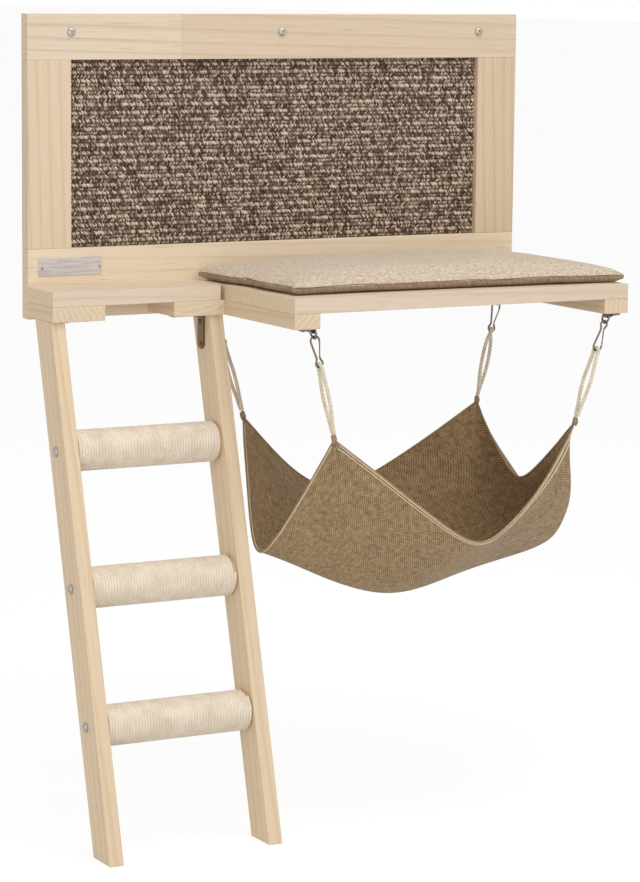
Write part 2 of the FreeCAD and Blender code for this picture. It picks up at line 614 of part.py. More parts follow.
def cushion_grid(top):
    """Return the cushion's upper or lower cover as a grid, closer towards its sides."""
    runs = [[math.sin(math.pi / 2 * (-1 + 2 * i / n)) for i in range(n + 1)] for n in (PAD_COLUMNS, PAD_ROWS)]
    return [[cushion_point(s, t, top) for t in runs[1]] for s in runs[0]]


def build_cushion():
    """Write the loose cushion on the wide shelf."""
    save("cushion", cloth_solid(cushion_grid(True), cushion_grid(False)))


build_panel()
build_shelf()
build_ladder()
build_hangers()
build_sling()
build_cushion()
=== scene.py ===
"""Wall mounted cat tree, dressed: boards, woven mat, wound rungs, snap hooks, ropes, sling and cushion.

Metres, in the frame of the solids: the origin is the middle of the panel's rear face on the wall,
+X to the right, -Y into the room and +Z up. Sizes named in millimetres carry MM as a factor.
"""

import json
import logging
import math
import random
from dataclasses import dataclass, field
from enum import Enum
from typing import Callable, Sequence

import bmesh
import bpy
import numpy as np
from mathutils import Matrix, Vector
from mathutils.bvhtree import BVHTree

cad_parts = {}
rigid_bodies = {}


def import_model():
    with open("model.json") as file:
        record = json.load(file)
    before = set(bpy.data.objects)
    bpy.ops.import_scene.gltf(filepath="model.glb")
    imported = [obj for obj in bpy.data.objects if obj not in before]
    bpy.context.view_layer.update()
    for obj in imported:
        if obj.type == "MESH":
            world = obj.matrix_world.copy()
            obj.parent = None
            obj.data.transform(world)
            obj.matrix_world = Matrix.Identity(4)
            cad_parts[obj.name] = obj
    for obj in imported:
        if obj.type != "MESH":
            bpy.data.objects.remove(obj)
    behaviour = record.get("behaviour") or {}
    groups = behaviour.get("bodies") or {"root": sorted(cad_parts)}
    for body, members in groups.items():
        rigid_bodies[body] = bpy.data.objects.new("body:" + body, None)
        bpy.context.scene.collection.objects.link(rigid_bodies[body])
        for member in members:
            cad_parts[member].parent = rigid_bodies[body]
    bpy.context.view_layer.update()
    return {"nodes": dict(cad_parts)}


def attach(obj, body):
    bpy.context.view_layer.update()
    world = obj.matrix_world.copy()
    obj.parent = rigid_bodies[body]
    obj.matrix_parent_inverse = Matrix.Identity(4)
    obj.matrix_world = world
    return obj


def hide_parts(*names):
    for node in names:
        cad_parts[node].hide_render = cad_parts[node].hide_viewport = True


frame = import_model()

LOG = logging.getLogger("cat_tree")
MM = 0.001
Colour = tuple[float, float, float]
Points = list[Vector]

BOARD = 16 * MM
PANEL_X, PANEL_Z = 300 * MM, 160 * MM
OPEN_X, OPEN_Z0, OPEN_Z1 = 250 * MM, -86 * MM, 112 * MM
SHELF_TOP, SHELF_LOW, BATTEN_LOW = -125 * MM, -141 * MM, -157 * MM
FEET_Z = -703 * MM
STEP_X, SHELF_END = -100 * MM, 310 * MM
NARROW_Y, WIDE_Y = -80 * MM, -238 * MM


def linear(colour: Colour) -> tuple[float, float, float, float]:
    """Return a colour written as it looks, 0 to 255, as linear light with full alpha."""
    parts = [c / 255 for c in colour]
    return (*[c / 12.92 if c <= 0.04045 else ((c + 0.055) / 1.055) ** 2.4 for c in parts], 1.0)


# --- node trees -----------------------------------------------------------------------------
class Tree:
    """A node tree that is being built, for a material or for geometry."""

    def __init__(self, tree: bpy.types.NodeTree) -> None:
        """Take an empty tree.

        Args:
            tree: The tree that the nodes go into.
        """
        self.tree = tree

    def add(self, kind: str, inputs: dict | None = None, **props) -> bpy.types.Node:
        """Add a node, set its options and fill or link its inputs.

        Args:
            kind: The node's type.
            inputs: Socket name or number to a value, or to the socket that feeds it.
            props: The node's own options.

        Returns:
            The new node.
        """
        node = self.tree.nodes.new(kind)
        for name, value in props.items():
            setattr(node, name, value)
        for key, value in (inputs or {}).items():
            if isinstance(value, bpy.types.NodeSocket):
                self.tree.links.new(value, node.inputs[key])
            else:
                node.inputs[key].default_value = value
        return node

    def math(self, operation: str, a: object, b: object = 0.0) -> bpy.types.NodeSocket:
        """Add one sum.

        Args:
            operation: The sum's name.
            a: First value or socket.
            b: Second value or socket.

        Returns:
            The result's socket.
        """
        return self.add("ShaderNodeMath", {0: a, 1: b}, operation=operation).outputs[0]

    def mix(self, factor: object, one: object, two: object) -> bpy.types.NodeSocket:
        """Mix two colours.

        Args:
            factor: Share of the second.
            one: First colour or socket.
            two: Second colour or socket.

        Returns:
            The mixed colour's socket.
        """
        node = self.add("ShaderNodeMix", {0: factor, 6: one, 7: two}, data_type="RGBA")
        return node.outputs[2]

    def ramp(self, value: object, stops: Sequence[tuple[float, float]]) -> bpy.types.NodeSocket:
        """Turn a value into grey by stops.

        Args:
            value: The socket that is read.
            stops: Position and grey of each stop.

        Returns:
            The grey's socket.
        """
        node = self.add("ShaderNodeValToRGB", {0: value})
        elements = node.color_ramp.elements
        while len(elements) < len(stops):
            elements.new(0.5)
        for element, (place, grey) in zip(elements, stops):
            element.position, element.color = place, (grey, grey, grey, 1)
        return node.outputs[0]

    def noise(self, vector: object, scale: float, detail: float = 3,
              rough: float = 0.55) -> bpy.types.NodeSocket:
        """Add a noise and return its value's socket.

        Args:
            vector: The coordinates' socket.
            scale: Scale of the noise.
            detail: Octaves.
            rough: Share that each octave keeps.

        Returns:
            The value's socket.
        """
        return self.add("ShaderNodeTexNoise", {"Vector": vector, "Scale": scale, "Detail": detail,
                                               "Roughness": rough}).outputs["Fac"]


def new_material(name: str) -> tuple[bpy.types.Material, Tree, bpy.types.Node]:
    """Start a material.

    Args:
        name: The material's name.

    Returns:
        The material, its tree and its shader.
    """
    material = bpy.data.materials.new(name)
    material.use_nodes = True
    tree = Tree(material.node_tree)
    return material, tree, material.node_tree.nodes["Principled BSDF"]


def set_bump(tree: Tree, shader: bpy.types.Node, height: object, strength: float, distance: float) -> None:
    """Roughen a shader's surface.

    Args:
        tree: The material's tree.
        shader: The shader.
        height: The height's socket.
        strength: Strength of the bump.
        distance: Depth in metres.
    """
    node = tree.add("ShaderNodeBump", {"Height": height, "Strength": strength, "Distance": distance})
    tree.tree.links.new(node.outputs[0], shader.inputs["Normal"])


class Grain(Enum):
    """The axis that a board's grain runs along."""

    X = 0
    Y = 1
    Z = 2


@dataclass(frozen=True)
class Pine:
    """Planed pine under clear lacquer, with darker end grain and an optional joint in its length."""

    name: str
    grain: Grain = Grain.X
    pale: Colour = (226, 207, 181)
    dark: Colour = (201, 174, 138)
    seed: float = 0.0
    joint: float | None = None
    before: Colour = (230, 214, 191)
    roughness: float = 0.5
    lean: float = 0.0
    cut: Colour = (222, 202, 174)

    def coords(self, tree: Tree, along: float, across: float) -> bpy.types.NodeSocket:
        """Return object coordinates stretched along the grain.

        Args:
            tree: The material's tree.
            along: Scale along the grain.
            across: Scale across it.

        Returns:
            The stretched coordinates' socket.
        """
        scale = [across] * 3
        scale[self.grain.value] = along
        place = (self.seed * 3.1, self.seed * 1.7, self.seed * 2.3)
        source = tree.add("ShaderNodeTexCoord").outputs["Object"]
        upright = tree.add("ShaderNodeMapping", {"Vector": source, "Rotation": (self.lean, 0, 0)}).outputs[0]
        return tree.add("ShaderNodeMapping", {"Vector": upright, "Scale": scale,
                                              "Location": place}).outputs[0]

    def build(self) -> bpy.types.Material:
        """Return the material."""
        material, tree, shader = new_material(self.name)
        fibre = tree.noise(self.coords(tree, 9, 520), 1, 3, 0.6)
        drift = tree.noise(self.coords(tree, 2.2, 26), 1, 2)
        rings = tree.add("ShaderNodeTexWave", {"Vector": self.coords(tree, 1.3, 48), "Scale": 1.0,
                                               "Distortion": 3.6, "Detail": 2.0, "Detail Scale": 0.6},
                         wave_type="BANDS", bands_direction="DIAGONAL", wave_profile="SAW").outputs["Fac"]
        late = tree.ramp(rings, [(0.62, 0.0), (0.94, 0.6), (1.0, 0.0)])
        shade = tree.math("ADD", tree.math("MULTIPLY", fibre, 0.34), tree.math("MULTIPLY", late, 0.42))
        shade = tree.math("ADD", shade, tree.math("MULTIPLY", drift, 0.3))
        factor = tree.ramp(shade, [(0.18, 0.0), (0.9, 1.0)])
        pale: object = linear(self.pale)
        if self.joint is not None:
            axis = tree.add("ShaderNodeSeparateXYZ", {0: tree.add("ShaderNodeTexCoord").outputs["Object"]})
            side = tree.math("GREATER_THAN", axis.outputs[self.grain.value], self.joint)
            pale = tree.mix(side, linear(self.before), linear(self.pale))
        colour = tree.mix(factor, pale, linear(self.dark))
        flecks = tree.ramp(tree.noise(self.coords(tree, 26, 700), 1, 1), [(0.66, 0.0), (0.78, 0.42)])
        colour = tree.mix(flecks, colour, linear((178, 146, 108)))
        colour = self.end_grain(tree, colour)
        tree.tree.links.new(colour, shader.inputs["Base Color"])
        shader.inputs["Roughness"].default_value = self.roughness
        shader.inputs["Specular IOR Level"].default_value = 0.35
        set_bump(tree, shader, fibre, 0.25, 0.0004)
        return material

    def end_grain(self, tree: Tree, colour: object) -> bpy.types.NodeSocket:
        """Lay end grain over the faces that look along the grain.

        Args:
            tree: The material's tree.
            colour: The long grain's colour.

        Returns:
            The colour's socket.
        """
        coords = tree.add("ShaderNodeTexCoord")
        facing = tree.add("ShaderNodeSeparateXYZ", {0: coords.outputs["Normal"]}).outputs[self.grain.value]
        mask = tree.math("GREATER_THAN", tree.math("ABSOLUTE", facing), 0.8)
        centre = (0.03 + self.seed * 0.013, 0.05 - self.seed * 0.011, 0.07)
        moved = tree.add("ShaderNodeMapping", {"Vector": coords.outputs["Object"], "Location": centre})
        rings = tree.add("ShaderNodeTexWave", {"Vector": moved.outputs[0], "Scale": 52.0, "Distortion": 5.0,
                                               "Detail": 3.0, "Detail Scale": 2.0},
                         wave_type="RINGS", rings_direction="XYZ"[self.grain.value]).outputs["Fac"]
        pores = tree.noise(coords.outputs["Object"], 900, 2, 0.7)
        factor = tree.math("ADD", tree.ramp(rings, [(0.84, 0.0), (0.95, 0.6), (1.0, 0.0)]),
                           tree.math("MULTIPLY", tree.math("SUBTRACT", pores, 0.5), 0.5))
        cut = tree.mix(factor, linear(self.cut), linear((176, 142, 102)))
        return tree.mix(mask, colour, cut)


@dataclass(frozen=True)
class Metal:
    """Bare, plated or painted metal with a faint unevenness."""

    name: str
    colour: Colour
    roughness: float = 0.35
    metallic: float = 1.0
    streak: float = 1.0

    def build(self) -> bpy.types.Material:
        """Return the material."""
        material, tree, shader = new_material(self.name)
        source = tree.add("ShaderNodeTexCoord").outputs["Object"]
        vector = tree.add("ShaderNodeMapping", {"Vector": source, "Scale": (self.streak, 1, 1)}).outputs[0]
        cloud = tree.noise(vector, 420, 3, 0.6)
        low = [c * 0.82 for c in self.colour]
        colour = tree.mix(tree.ramp(cloud, [(0.3, 0), (0.7, 1)]), linear(low), linear(self.colour))
        tree.tree.links.new(colour, shader.inputs["Base Color"])
        rough = tree.math("ADD", tree.math("MULTIPLY", cloud, 0.25), self.roughness - 0.12)
        tree.tree.links.new(rough, shader.inputs["Roughness"])
        shader.inputs["Metallic"].default_value = self.metallic
        set_bump(tree, shader, cloud, 0.15, 0.0002)
        return material


@dataclass(frozen=True)
class Weave:
    """Plain weave with slubs, read from the cloth's own lengthwise and crosswise map."""

    name: str
    pale: Colour
    dark: Colour
    pitch: float
    slub: float = 0.5
    blotch: float = 0.25
    sheen: float = 0.15
    run: float = 95.0

    def thread(self, tree: Tree, uv: object, across: int) -> tuple[object, object]:
        """Return one set of threads.

        Args:
            tree: The material's tree.
            uv: The map's socket.
            across: 0 or 1, the map's direction that the threads are counted along.

        Returns:
            Sockets of the threads' roundness and of their own tone.
        """
        part = tree.add("ShaderNodeSeparateXYZ", {0: uv}).outputs[across]
        wave = tree.math("SINE", tree.math("MULTIPLY", part, 2 * math.pi / self.pitch))
        scale = [self.run, self.run, 1.0]
        scale[across] = 0.62 / self.pitch
        place = (across * 7.3, across * 3.9, across * 5.1)
        stretched = tree.add("ShaderNodeMapping", {"Vector": uv, "Scale": scale,
                                                   "Location": place}).outputs[0]
        return wave, tree.noise(stretched, 1, 2, 0.6)

    def build(self) -> bpy.types.Material:
        """Return the material."""
        material, tree, shader = new_material(self.name)
        uv = tree.add("ShaderNodeUVMap", uv_map="weave").outputs[0]
        warp, warp_tone = self.thread(tree, uv, 0)
        weft, weft_tone = self.thread(tree, uv, 1)
        over = tree.math("MULTIPLY", warp, weft)
        tone = tree.math("ADD", tree.math("MULTIPLY", warp_tone, 0.5), tree.math("MULTIPLY", weft_tone, 0.5))
        tone = tree.math("ADD", tree.math("MULTIPLY", tree.math("SUBTRACT", tone, 0.5), self.slub * 3.2), 0.5)
        gaps = tree.math("MULTIPLY", over, 0.3)
        cloud = tree.noise(uv, 26, 2)
        cloud = tree.math("MULTIPLY", tree.math("SUBTRACT", cloud, 0.5), self.blotch * 2)
        value = tree.math("ADD", tree.math("ADD", tone, gaps), cloud)
        colour = tree.mix(tree.ramp(value, [(0.12, 0.0), (0.88, 1.0)]), linear(self.dark), linear(self.pale))
        tree.tree.links.new(colour, shader.inputs["Base Color"])
        shader.inputs["Roughness"].default_value = 0.92
        shader.inputs["Specular IOR Level"].default_value = 0.15
        shader.inputs["Sheen Weight"].default_value = self.sheen
        shader.inputs["Sheen Roughness"].default_value = 0.6
        height = tree.math("ADD", tree.math("MULTIPLY", over, 0.5), tone)
        set_bump(tree, shader, height, 0.55, 0.0006)
        return material


@dataclass(frozen=True)
class Fibre:
    """Twisted natural fibre: cord, twine or rope."""

    name: str
    pale: Colour
    dark: Colour
    scale: float = 900.0

    def build(self) -> bpy.types.Material:
        """Return the material."""
        material, tree, shader = new_material(self.name)
        source = tree.add("ShaderNodeTexCoord").outputs["Object"]
        fine = tree.noise(source, self.scale, 3, 0.7)
        broad = tree.noise(source, self.scale / 14, 2)
        value = tree.math("ADD", tree.math("MULTIPLY", fine, 0.6), tree.math("MULTIPLY", broad, 0.4))
        colour = tree.mix(tree.ramp(value, [(0.3, 0.0), (0.62, 1.0)]), linear(self.dark), linear(self.pale))
        tree.tree.links.new(colour, shader.inputs["Base Color"])
        shader.inputs["Roughness"].default_value = 0.9
        shader.inputs["Specular IOR Level"].default_value = 0.2
        shader.inputs["Sheen Weight"].default_value = 0.2
        set_bump(tree, shader, fine, 0.6, 0.0005)
        return material


@dataclass(frozen=True)
class Sisal:
    """The mat's stitches: each has its own tone, and fibres along it."""

    name: str = "sisal_stitches"
    stops: tuple[tuple[float, Colour], ...] = ((0.0, (58, 42, 32)), (0.35, (112, 92, 78)),
                                               (0.65, (158, 138, 122)), (1.0, (222, 205, 186)))

    def build(self) -> bpy.types.Material:
        """Return the material."""
        material, tree, shader = new_material(self.name)
        tone = tree.add("ShaderNodeAttribute", attribute_name="tone").outputs["Fac"]
        source = tree.add("ShaderNodeTexCoord").outputs["Object"]
        vector = tree.add("ShaderNodeMapping", {"Vector": source, "Scale": (1400, 300, 300)}).outputs[0]
        fine = tree.noise(vector, 1, 2, 0.7)
        value = tree.math("ADD", tone, tree.math("MULTIPLY", tree.math("SUBTRACT", fine, 0.5), 0.7))
        node = tree.add("ShaderNodeValToRGB", {0: value})
        elements = node.color_ramp.elements
        while len(elements) < len(self.stops):
            elements.new(0.5)
        for element, (place, colour) in zip(elements, self.stops):
            element.position, element.color = place, linear(colour)
        tree.tree.links.new(node.outputs[0], shader.inputs["Base Color"])
        shader.inputs["Roughness"].default_value = 0.9
        shader.inputs["Specular IOR Level"].default_value = 0.15
        set_bump(tree, shader, fine, 0.5, 0.0004)
        return material


# --- meshes ---------------------------------------------------------------------------------
def mesh_piece(name: str, verts: Sequence, faces: Sequence, smooth: bool = True) -> bpy.types.Object:
    """Make a piece from its corners and faces.

    Args:
        name: The piece's name.
        verts: Its corners in metres.
        faces: Its faces as corner numbers.
        smooth: Whether its faces are shaded smooth.

    Returns:
        The piece, linked to the scene.
    """
    mesh = bpy.data.meshes.new(name)
    mesh.from_pydata([tuple(v) for v in verts], [], faces)
    mesh.validate()
    mesh.polygons.foreach_set("use_smooth", [smooth] * len(mesh.polygons))
    piece = bpy.data.objects.new(name, mesh)
    bpy.context.scene.collection.objects.link(piece)
    return piece


def dress(piece: bpy.types.Object, material: bpy.types.Material) -> None:
    """Give a piece one material."""
    piece.data.materials.clear()
    piece.data.materials.append(material)


def repaint(solid: bpy.types.Object, material: bpy.types.Material) -> None:
    """Give one of the part's own solids a better material."""
    for slot in solid.material_slots:
        slot.material = material


def evaluated(piece: bpy.types.Object) -> bpy.types.Object:
    """Turn a piece with modifiers into a plain mesh.

    Args:
        piece: The piece; it is removed.

    Returns:
        The plain piece, under the same name.
    """
    graph = bpy.context.evaluated_depsgraph_get()
    graph.update()
    mesh = bpy.data.meshes.new_from_object(piece.evaluated_get(graph))
    name = piece.name
    bpy.data.objects.remove(piece)
    plain = bpy.data.objects.new(name, mesh)
    bpy.context.scene.collection.objects.link(plain)
    return plain


def joined(name: str, pieces: list[bpy.types.Object]) -> bpy.types.Object:
    """Join pieces into one.

    Args:
        name: The joined piece's name.
        pieces: The pieces; all are used up.

    Returns:
        The joined piece.
    """
    made = bmesh.new()
    for piece in pieces:
        made.from_mesh(piece.data)
        bpy.data.objects.remove(piece)
    mesh = bpy.data.meshes.new(name)
    made.to_mesh(mesh)
    made.free()
    whole = bpy.data.objects.new(name, mesh)
    bpy.context.scene.collection.objects.link(whole)
    return whole


def place(piece: bpy.types.Object, body: str, slot: str, *nodes: str) -> bpy.types.Object:
    """Put a finished piece on its body and hide what it stands for.

    Args:
        piece: The piece.
        body: The body that it rides on.
        slot: The material slot of the record; not used.
        nodes: Nodes that it replaces.

    Returns:
        The piece.
    """
    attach(piece, body)
    if nodes:
        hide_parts(*nodes)
    LOG.info("%s: %d faces, rides on %s", piece.name, len(piece.data.polygons), body)
    return piece


def block(name: str, low: Sequence[float], high: Sequence[float]) -> bpy.types.Object:
    """Make a plain block between two corners, to cut with.

    Args:
        name: The piece's name.
        low: Its lowest corner.
        high: Its highest corner.

    Returns:
        The block.
    """
    made = bmesh.new()
    size = [b - a for a, b in zip(low, high)]
    middle = [(a + b) / 2 for a, b in zip(low, high)]
    bmesh.ops.create_cube(made, size=1, matrix=Matrix.Translation(middle) @ Matrix.Diagonal((*size, 1)))
    mesh = bpy.data.meshes.new(name)
    made.to_mesh(mesh)
    made.free()
    piece = bpy.data.objects.new(name, mesh)
    bpy.context.scene.collection.objects.link(piece)
    return piece


def cut(piece: bpy.types.Object, cutters: list[bpy.types.Object]) -> bpy.types.Object:
    """Cut pieces out of a piece.

    Args:
        piece: The piece that is cut; it is used up.
        cutters: What is cut out; all are used up.

    Returns:
        What is left.
    """
    for cutter in cutters:
        step = piece.modifiers.new("cut", "BOOLEAN")
        step.operation, step.solver, step.object = "DIFFERENCE", "EXACT", cutter
    piece = evaluated(piece)
    for cutter in cutters:
        bpy.data.objects.remove(cutter)
    return piece


@dataclass(frozen=True)
class Board:
    """A planed board: an outline swept along an axis, its edges eased, with rebates cut out.

    The outline is in the two other axes, in the order X, Y, Z.
    """

    node: str
    outline: tuple[tuple[float, float], ...]
    sweep: Grain
    low: float
    high: float
    slot: str
    ease: float = 0.6 * MM
    rebate: tuple[tuple[float, float, float], tuple[float, float, float]] | None = None

    def corner(self, u: float, v: float, w: float) -> tuple[float, float, float]:
        """Return a corner from its place in the outline and along the sweep."""
        return {Grain.X: (w, u, v), Grain.Y: (u, w, v), Grain.Z: (u, v, w)}[self.sweep]

    def build(self, finish: Pine) -> bpy.types.Object:
        """Make the board, dress it and put it in its node's place.

        Args:
            finish: The board's wood.

        Returns:
            The board.
        """
        made = bmesh.new()
        face = made.faces.new([made.verts.new(self.corner(u, v, self.low)) for u, v in self.outline])
        moved = bmesh.ops.extrude_face_region(made, geom=[face])["geom"]
        way = Vector(self.corner(0, 0, self.high - self.low))
        bmesh.ops.translate(made, vec=way, verts=[g for g in moved if isinstance(g, bmesh.types.BMVert)])
        bmesh.ops.recalc_face_normals(made, faces=made.faces)
        bmesh.ops.bevel(made, geom=made.edges[:], offset=self.ease, segments=2, profile=0.5, affect="EDGES")
        mesh = bpy.data.meshes.new(self.node + "_planed")
        made.to_mesh(mesh)
        made.free()
        piece = bpy.data.objects.new(self.node + "_planed", mesh)
        bpy.context.scene.collection.objects.link(piece)
        if self.rebate:
            piece = cut(piece, [block("rebate", *self.rebate)])
        dress(piece, finish.build())
        return place(piece, "frame", self.slot, self.node)


def rectangle(u0: float, u1: float, v0: float, v1: float) -> tuple[tuple[float, float], ...]:
    """Return a rectangle's outline."""
    return (u0, v0), (u1, v0), (u1, v1), (u0, v1)


def frames_along(path: Points, closed: bool = False) -> list[tuple[Vector, Vector]]:
    """Return two directions square to a path at each of its points, without needless twist.

    Args:
        path: The points.
        closed: Whether the path comes back to its start.

    Returns:
        A pair of directions for each point.
    """
    count = len(path)
    ways = []
    for i in range(count):
        before = (i - 1) % count if closed else max(0, i - 1)
        after = (i + 1) % count if closed else min(count - 1, i + 1)
        ways.append((path[after] - path[before]).normalized())
    side = ways[0].orthogonal().normalized()
    pairs = []
    for way in ways:
        side = (side - way * side.dot(way)).normalized()
        pairs.append((side, way.cross(side)))
    return pairs


def band(a: int, b: int, sides: int) -> list[tuple[int, ...]]:
    """Return the faces between two rings of points that start at a and at b."""
    return [(a + k, a + (k + 1) % sides, b + (k + 1) % sides, b + k) for k in range(sides)]


def sweep(name: str, path: Points, radius: float | Sequence[float], sides: int = 12,
          closed: bool = False) -> bpy.types.Object:
    """Make a round bar along a path.

    Args:
        name: The piece's name.
        path: The points of its middle line.
        radius: Its radius, or one for each point.
        sides: Corners of its section.
        closed: Whether it comes back to its start.

    Returns:
        The bar.
    """
    radii = [radius] * len(path) if isinstance(radius, (int, float)) else list(radius)
    verts, faces = [], []
    for point, (one, two), r in zip(path, frames_along(path, closed), radii):
        for k in range(sides):
            angle = 2 * math.pi * k / sides
            verts.append(point + one * (r * math.cos(angle)) + two * (r * math.sin(angle)))
    rings = len(path) if closed else len(path) - 1
    for i in range(rings):
        a, b = i * sides, (i + 1) % len(path) * sides
        faces += band(a, b, sides)
    if not closed:
        faces += [tuple(range(sides))[::-1], tuple(range(len(verts) - sides, len(verts)))]
    return mesh_piece(name, verts, faces)


def lathe(name: str, profile: Sequence[tuple[float, float]], sides: int = 24) -> bpy.types.Object:
    """Turn a profile round +Z.

    Args:
        name: The piece's name.
        profile: Radius and height of each step, from one end of the axis to the other.
        sides: Corners of its section.

    Returns:
        The turned piece at the origin.
    """
    verts, faces = [], []
    for r, z in profile:
        verts += [(r * math.cos(2 * math.pi * k / sides), r * math.sin(2 * math.pi * k / sides), z)
                  for k in range(sides)]
    for i in range(len(profile) - 1):
        a, b = i * sides, (i + 1) * sides
        faces += band(a, b, sides)
    faces += [tuple(range(sides))[::-1], tuple(range(len(verts) - sides, len(verts)))]
    return mesh_piece(name, verts, faces)


def smooth_all(piece: bpy.types.Object) -> None:
    """Shade every face of a piece smooth."""
    piece.data.polygons.foreach_set("use_smooth", [True] * len(piece.data.polygons))


def rounded_box(name: str, size: Sequence[float], centre: Sequence[float], edge: float) -> bpy.types.Object:
    """Make a block with rounded edges.

    Args:
        name: The piece's name.
        size: Its three sizes.
        centre: Its middle.
        edge: Radius of its edges.

    Returns:
        The block.
    """
    made = bmesh.new()
    bmesh.ops.create_cube(made, size=1, matrix=Matrix.Translation(centre) @ Matrix.Diagonal((*size, 1)))
    bmesh.ops.bevel(made, geom=made.edges[:], offset=edge, segments=3, profile=0.5, affect="EDGES")
    mesh = bpy.data.meshes.new(name)
    made.to_mesh(mesh)
    made.free()
    piece = bpy.data.objects.new(name, mesh)
    bpy.context.scene.collection.objects.link(piece)
    return piece


# --- geometry trees -------------------------------------------------------------------------
class Maker:
    """A geometry tree with named inputs, put on a piece and turned into a plain mesh."""

    def __init__(self, name: str, inputs: dict[str, str]) -> None:
        """Start the tree.

        Args:
            name: The tree's name.
            inputs: Name and socket type of each input.
        """
        self.group = bpy.data.node_groups.new(name, "GeometryNodeTree")
        face = self.group.interface
        face.new_socket(name="Geometry", in_out="INPUT", socket_type="NodeSocketGeometry")
        self.ids = {key: face.new_socket(name=key, in_out="INPUT", socket_type=kind).identifier
                    for key, kind in inputs.items()}
        face.new_socket(name="Geometry", in_out="OUTPUT", socket_type="NodeSocketGeometry")
        self.tree = Tree(self.group)
        self.source = self.tree.add("NodeGroupInput").outputs

    def finish(self, geometry: object) -> None:
        """End the tree in plain, dressed geometry.

        Args:
            geometry: The geometry's socket.
        """
        real = self.tree.add("GeometryNodeRealizeInstances", {0: geometry}).outputs[0]
        smooth = self.tree.add("GeometryNodeSetShadeSmooth", {0: real}).outputs[0]
        dressed = self.tree.add("GeometryNodeSetMaterial", {0: smooth, "Material": self.source["Finish"]})
        self.tree.add("NodeGroupOutput", {0: dressed.outputs[0]})

    def make(self, piece: bpy.types.Object, **values) -> bpy.types.Object:
        """Run the tree on a piece.

        Args:
            piece: The piece that holds the points or an empty mesh; it is used up.
            values: The tree's inputs, with _ for a space.

        Returns:
            The plain piece.
        """
        modifier = piece.modifiers.new(self.group.name, "NODES")
        modifier.node_group = self.group
        for key, value in values.items():
            modifier[self.ids[key.replace("_", " ")]] = value
        return evaluated(piece)


def winding_maker() -> Maker:
    """Return the tree that winds twisted twine round a rung, along X from the piece's origin."""
    maker = Maker("Wound twine", {"Turns": "NodeSocketFloat", "Radius": "NodeSocketFloat",
                                  "Length": "NodeSocketFloat", "Strand": "NodeSocketFloat",
                                  "Twist": "NodeSocketFloat", "Place": "NodeSocketVector",
                                  "Finish": "NodeSocketMaterial"})
    tree, source = maker.tree, maker.source
    spiral = tree.add("GeometryNodeCurveSpiral", {"Resolution": 44, "Rotations": source["Turns"],
                                                  "Start Radius": source["Radius"],
                                                  "End Radius": source["Radius"], "Height": source["Length"]})
    run = tree.add("GeometryNodeSplineParameter").outputs["Length"]
    tilt = tree.math("MULTIPLY", run, source["Twist"])
    curve = tree.add("GeometryNodeSetCurveTilt", {"Curve": spiral.outputs[0], "Tilt": tilt}).outputs[0]
    inner = tree.math("MULTIPLY", source["Strand"], 0.9)
    section = tree.add("GeometryNodeCurveStar", {"Points": 4, "Inner Radius": inner,
                                                 "Outer Radius": source["Strand"]}).outputs[0]
    mesh = tree.add("GeometryNodeCurveToMesh", {"Curve": curve, "Profile Curve": section, "Fill Caps": True})
    turned = tree.add("GeometryNodeTransform", {"Geometry": mesh.outputs[0], "Rotation": (0, math.pi / 2, 0),
                                                "Translation": source["Place"]})
    maker.finish(turned.outputs[0])
    return maker


